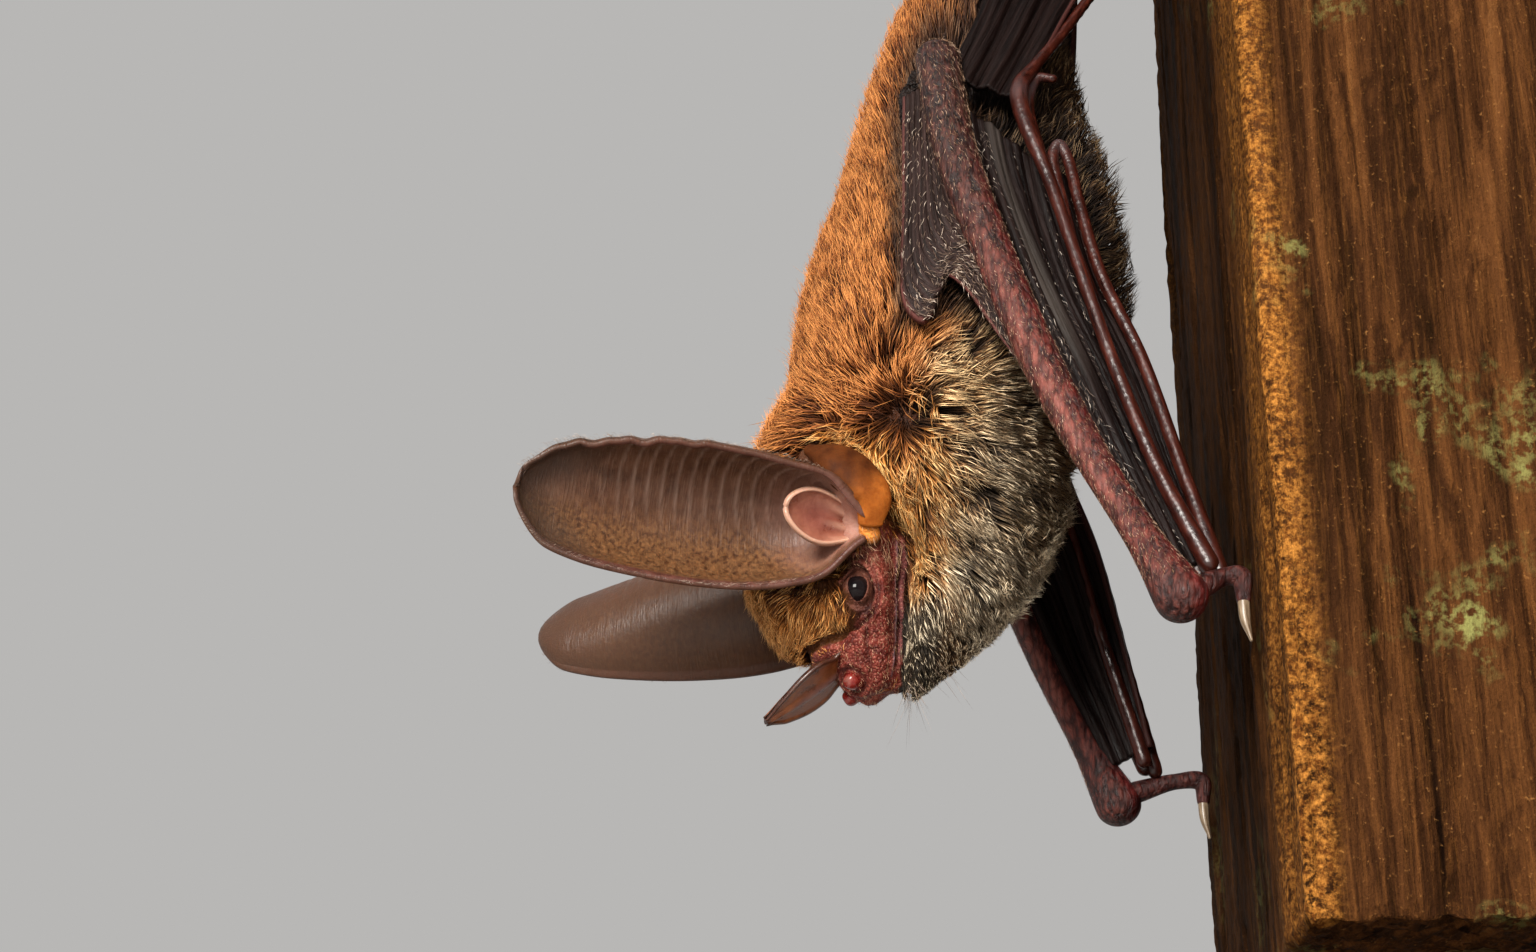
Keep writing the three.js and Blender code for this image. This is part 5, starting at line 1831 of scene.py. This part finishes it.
def makeBeam():
    # A block cut into a fine mesh, worn along its grain, with open end grain.
    low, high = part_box("perch")
    centre = np.array(centreOf("perch"))
    size = (beamPlan["thick"] * 0.001, beamPlan["width"] * 0.001, high.z - low.z)
    beam = makeBlock("old_beam", "perch", size)
    modify(beam, "BEVEL", width=0.0008, segments=2)
    modify(beam, "REMESH", mode="VOXEL", voxel_size=beamPlan["voxel"] * 0.001)
    points = (getPoints(beam) - centre) * 1000
    normals = getNormals(beam)
    x, y, z = points.T
    long = np.stack([x, y, z * 0.06], 1)
    sides = 1 - np.abs(normals[:, 2])
    wear = 0.5 + 0.5 * waves(long, 5.5, 31, 3)
    crack = hump(waves(long, 9, 33, 3), 0.1, 0.06)
    grit = waves(points, 1.6, 35, 2)
    sink = sides * (beamPlan["wear"] * wear * 0.55 + beamPlan["cracks"] * crack) + 0.10 * (1 + grit)
    rings = np.sqrt((x + 30) ** 2 + (y - 8) ** 2)
    ends = 1 - sides
    splits = 0.4 * hump(waves(points * (1, 1, 0), 14, 37, 2), 0, 0.05)
    sink += ends * (0.35 + 0.25 * np.sin(rings * 3.3) + splits)
    points -= normals * sink[:, None]
    spin = np.array(Matrix.Rotation(beamPlan["turn"], 3, "Z"))
    insideX, insideY = beamPlan["thick"] / 2 - np.abs(x), beamPlan["width"] / 2 - np.abs(y)
    corner, both = np.minimum(insideX, insideY), np.maximum(insideX, insideY)
    edge = ease(2.6, 0.6, corner) * ease(3.2, 0.8, both + 0.8 * waves(long, 4, 39, 2))
    flank = 0.6 * ease(0.4, 0.8, -normals[:, 0]) * ease(-13, -22, y + 3 * waves(long, 6, 43, 2))
    setMask(beam, "edge", np.maximum(edge, flank))
    # where the shade is painted: the side facing the bat, darker towards its far edge
    facing = ease(0.4, 0.8, -normals[:, 0]) * ease(-beamPlan["thick"] / 2 + 2, -beamPlan["thick"] / 2 + 1, x)
    setMask(beam, "shadedSide", 0.85 * facing * ease(-22, -6, y + 2 * grit))
    setPoints(beam, points @ spin.T * 0.001 + centre)
    return beam


def makeBase():
    low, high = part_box("stand_base")
    base = makeBlock("display_base", "stand_base", high - low)
    height = [vertex.co.z for vertex in base.data.vertices]
    ends = [edge.vertices for edge in base.data.edges]
    pick(base, "EDGE", [abs(height[a] - height[b]) > 0.001 for a, b in ends])
    bpy.ops.mesh.bevel(offset=standPlan["corner"] * 0.001, segments=10, affect="EDGES")
    bpy.ops.object.mode_set(mode="OBJECT")
    pick(base, "FACE", [polygon.normal.z > 0.9 for polygon in base.data.polygons])
    bpy.ops.mesh.bevel(offset=standPlan["rim"] * 0.001, segments=3, affect="EDGES")
    bpy.ops.object.mode_set(mode="OBJECT")
    return base


def makeRod(number):
    node = f"stand_rod_{number}"
    low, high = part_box(node)
    rod = addPiece(
        f"brass_rod_{number}",
        bpy.ops.mesh.primitive_cylinder_add,
        vertices=48,
        radius=(high.x - low.x) / 2,
        depth=high.z - low.z,
        location=centreOf(node),
    )
    bpy.ops.object.transform_apply(location=True)
    modify(rod, "BEVEL", width=standPlan["rodRim"] * 0.001, segments=2, limit_method="ANGLE")
    return finishPiece(rod, rodPaint, [node])


finishPiece(makeBeam(), woodPaint, ["perch"])
base = finishPiece(makeBase(), basePaint, ["stand_base"])
for piece in (base, makeRod(1), makeRod(2)):
    only(piece)
    bpy.ops.object.shade_smooth_by_angle(angle=standPlan["sharp"])
print("beam and stand made")

# ---- floor, light and camera ----

studio = {
    "floor": 8,
    "air": 0.48,
    "spread": math.radians(90),
    "lens": 60,
    "distance": 0.192,
    "look": math.radians(22),
    "lights": {  # size, power, place, colour, and whether it shows in reflections
        "keyLight": (0.36, 4.5, (-0.36, -0.76, 0.42), (1.0, 0.96, 0.90), True),
        "lowFill": (0.5, 1.7, (0.16, -0.80, 0.04), (1.0, 0.95, 0.89), False),
        "backLight": (0.4, 0.95, (-0.40, 0.62, 0.42), (1.0, 0.95, 0.88), False),
    },
}


def makeFloor():
    floor = addPiece(
        "studio_floor", bpy.ops.mesh.primitive_plane_add, size=studio["floor"], location=(0, 0, 0)
    )
    paint = Paint("paleFloor", 0.7)
    paint.colour(paint.ramp(paint.noise(3, 2), (0.3, (0.50, 0.49, 0.475)), (0.7, (0.53, 0.52, 0.505))))
    floor.data.materials.append(paint.material)


def addLight(name, size, power, place, colour, glossy):
    light = addPiece(name, bpy.ops.object.light_add, type="AREA", location=place)
    light.data.size = size
    light.data.energy = power
    light.data.color = colour
    light.data.spread = studio["spread"]
    light.visible_glossy = glossy
    light.visible_camera = False
    away = batFrame.translation - Vector(place)
    light.rotation_euler = away.to_track_quat("-Z", "Y").to_euler()


def makeStudio():
    makeFloor()
    world = bpy.data.worlds.new("studioAir")
    bpy.context.scene.world = world
    world.use_nodes = True
    air = world.node_tree.nodes["Background"].inputs
    air["Color"].default_value = (1.0, 0.985, 0.965, 1)
    air["Strength"].default_value = studio["air"]
    for name, settings in studio["lights"].items():
        addLight(name, *settings)


def makeCamera():
    look = studio["look"]
    away = Vector((0, -math.cos(look), -math.sin(look))) * studio["distance"]
    camera = addPiece("Camera", bpy.ops.object.camera_add, location=batFrame.translation + away)
    camera.rotation_mode = "QUATERNION"
    camera.rotation_quaternion = (-away).to_track_quat("-Z", "Y")
    camera.data.lens = studio["lens"]
    camera.data.sensor_width = 36
    camera.data.clip_start = 0.01
    camera.data.clip_end = 20
    bpy.context.scene.camera = camera


makeStudio()
makeCamera()
bpy.context.scene.view_settings.view_transform = "Standard"
print("studio ready")
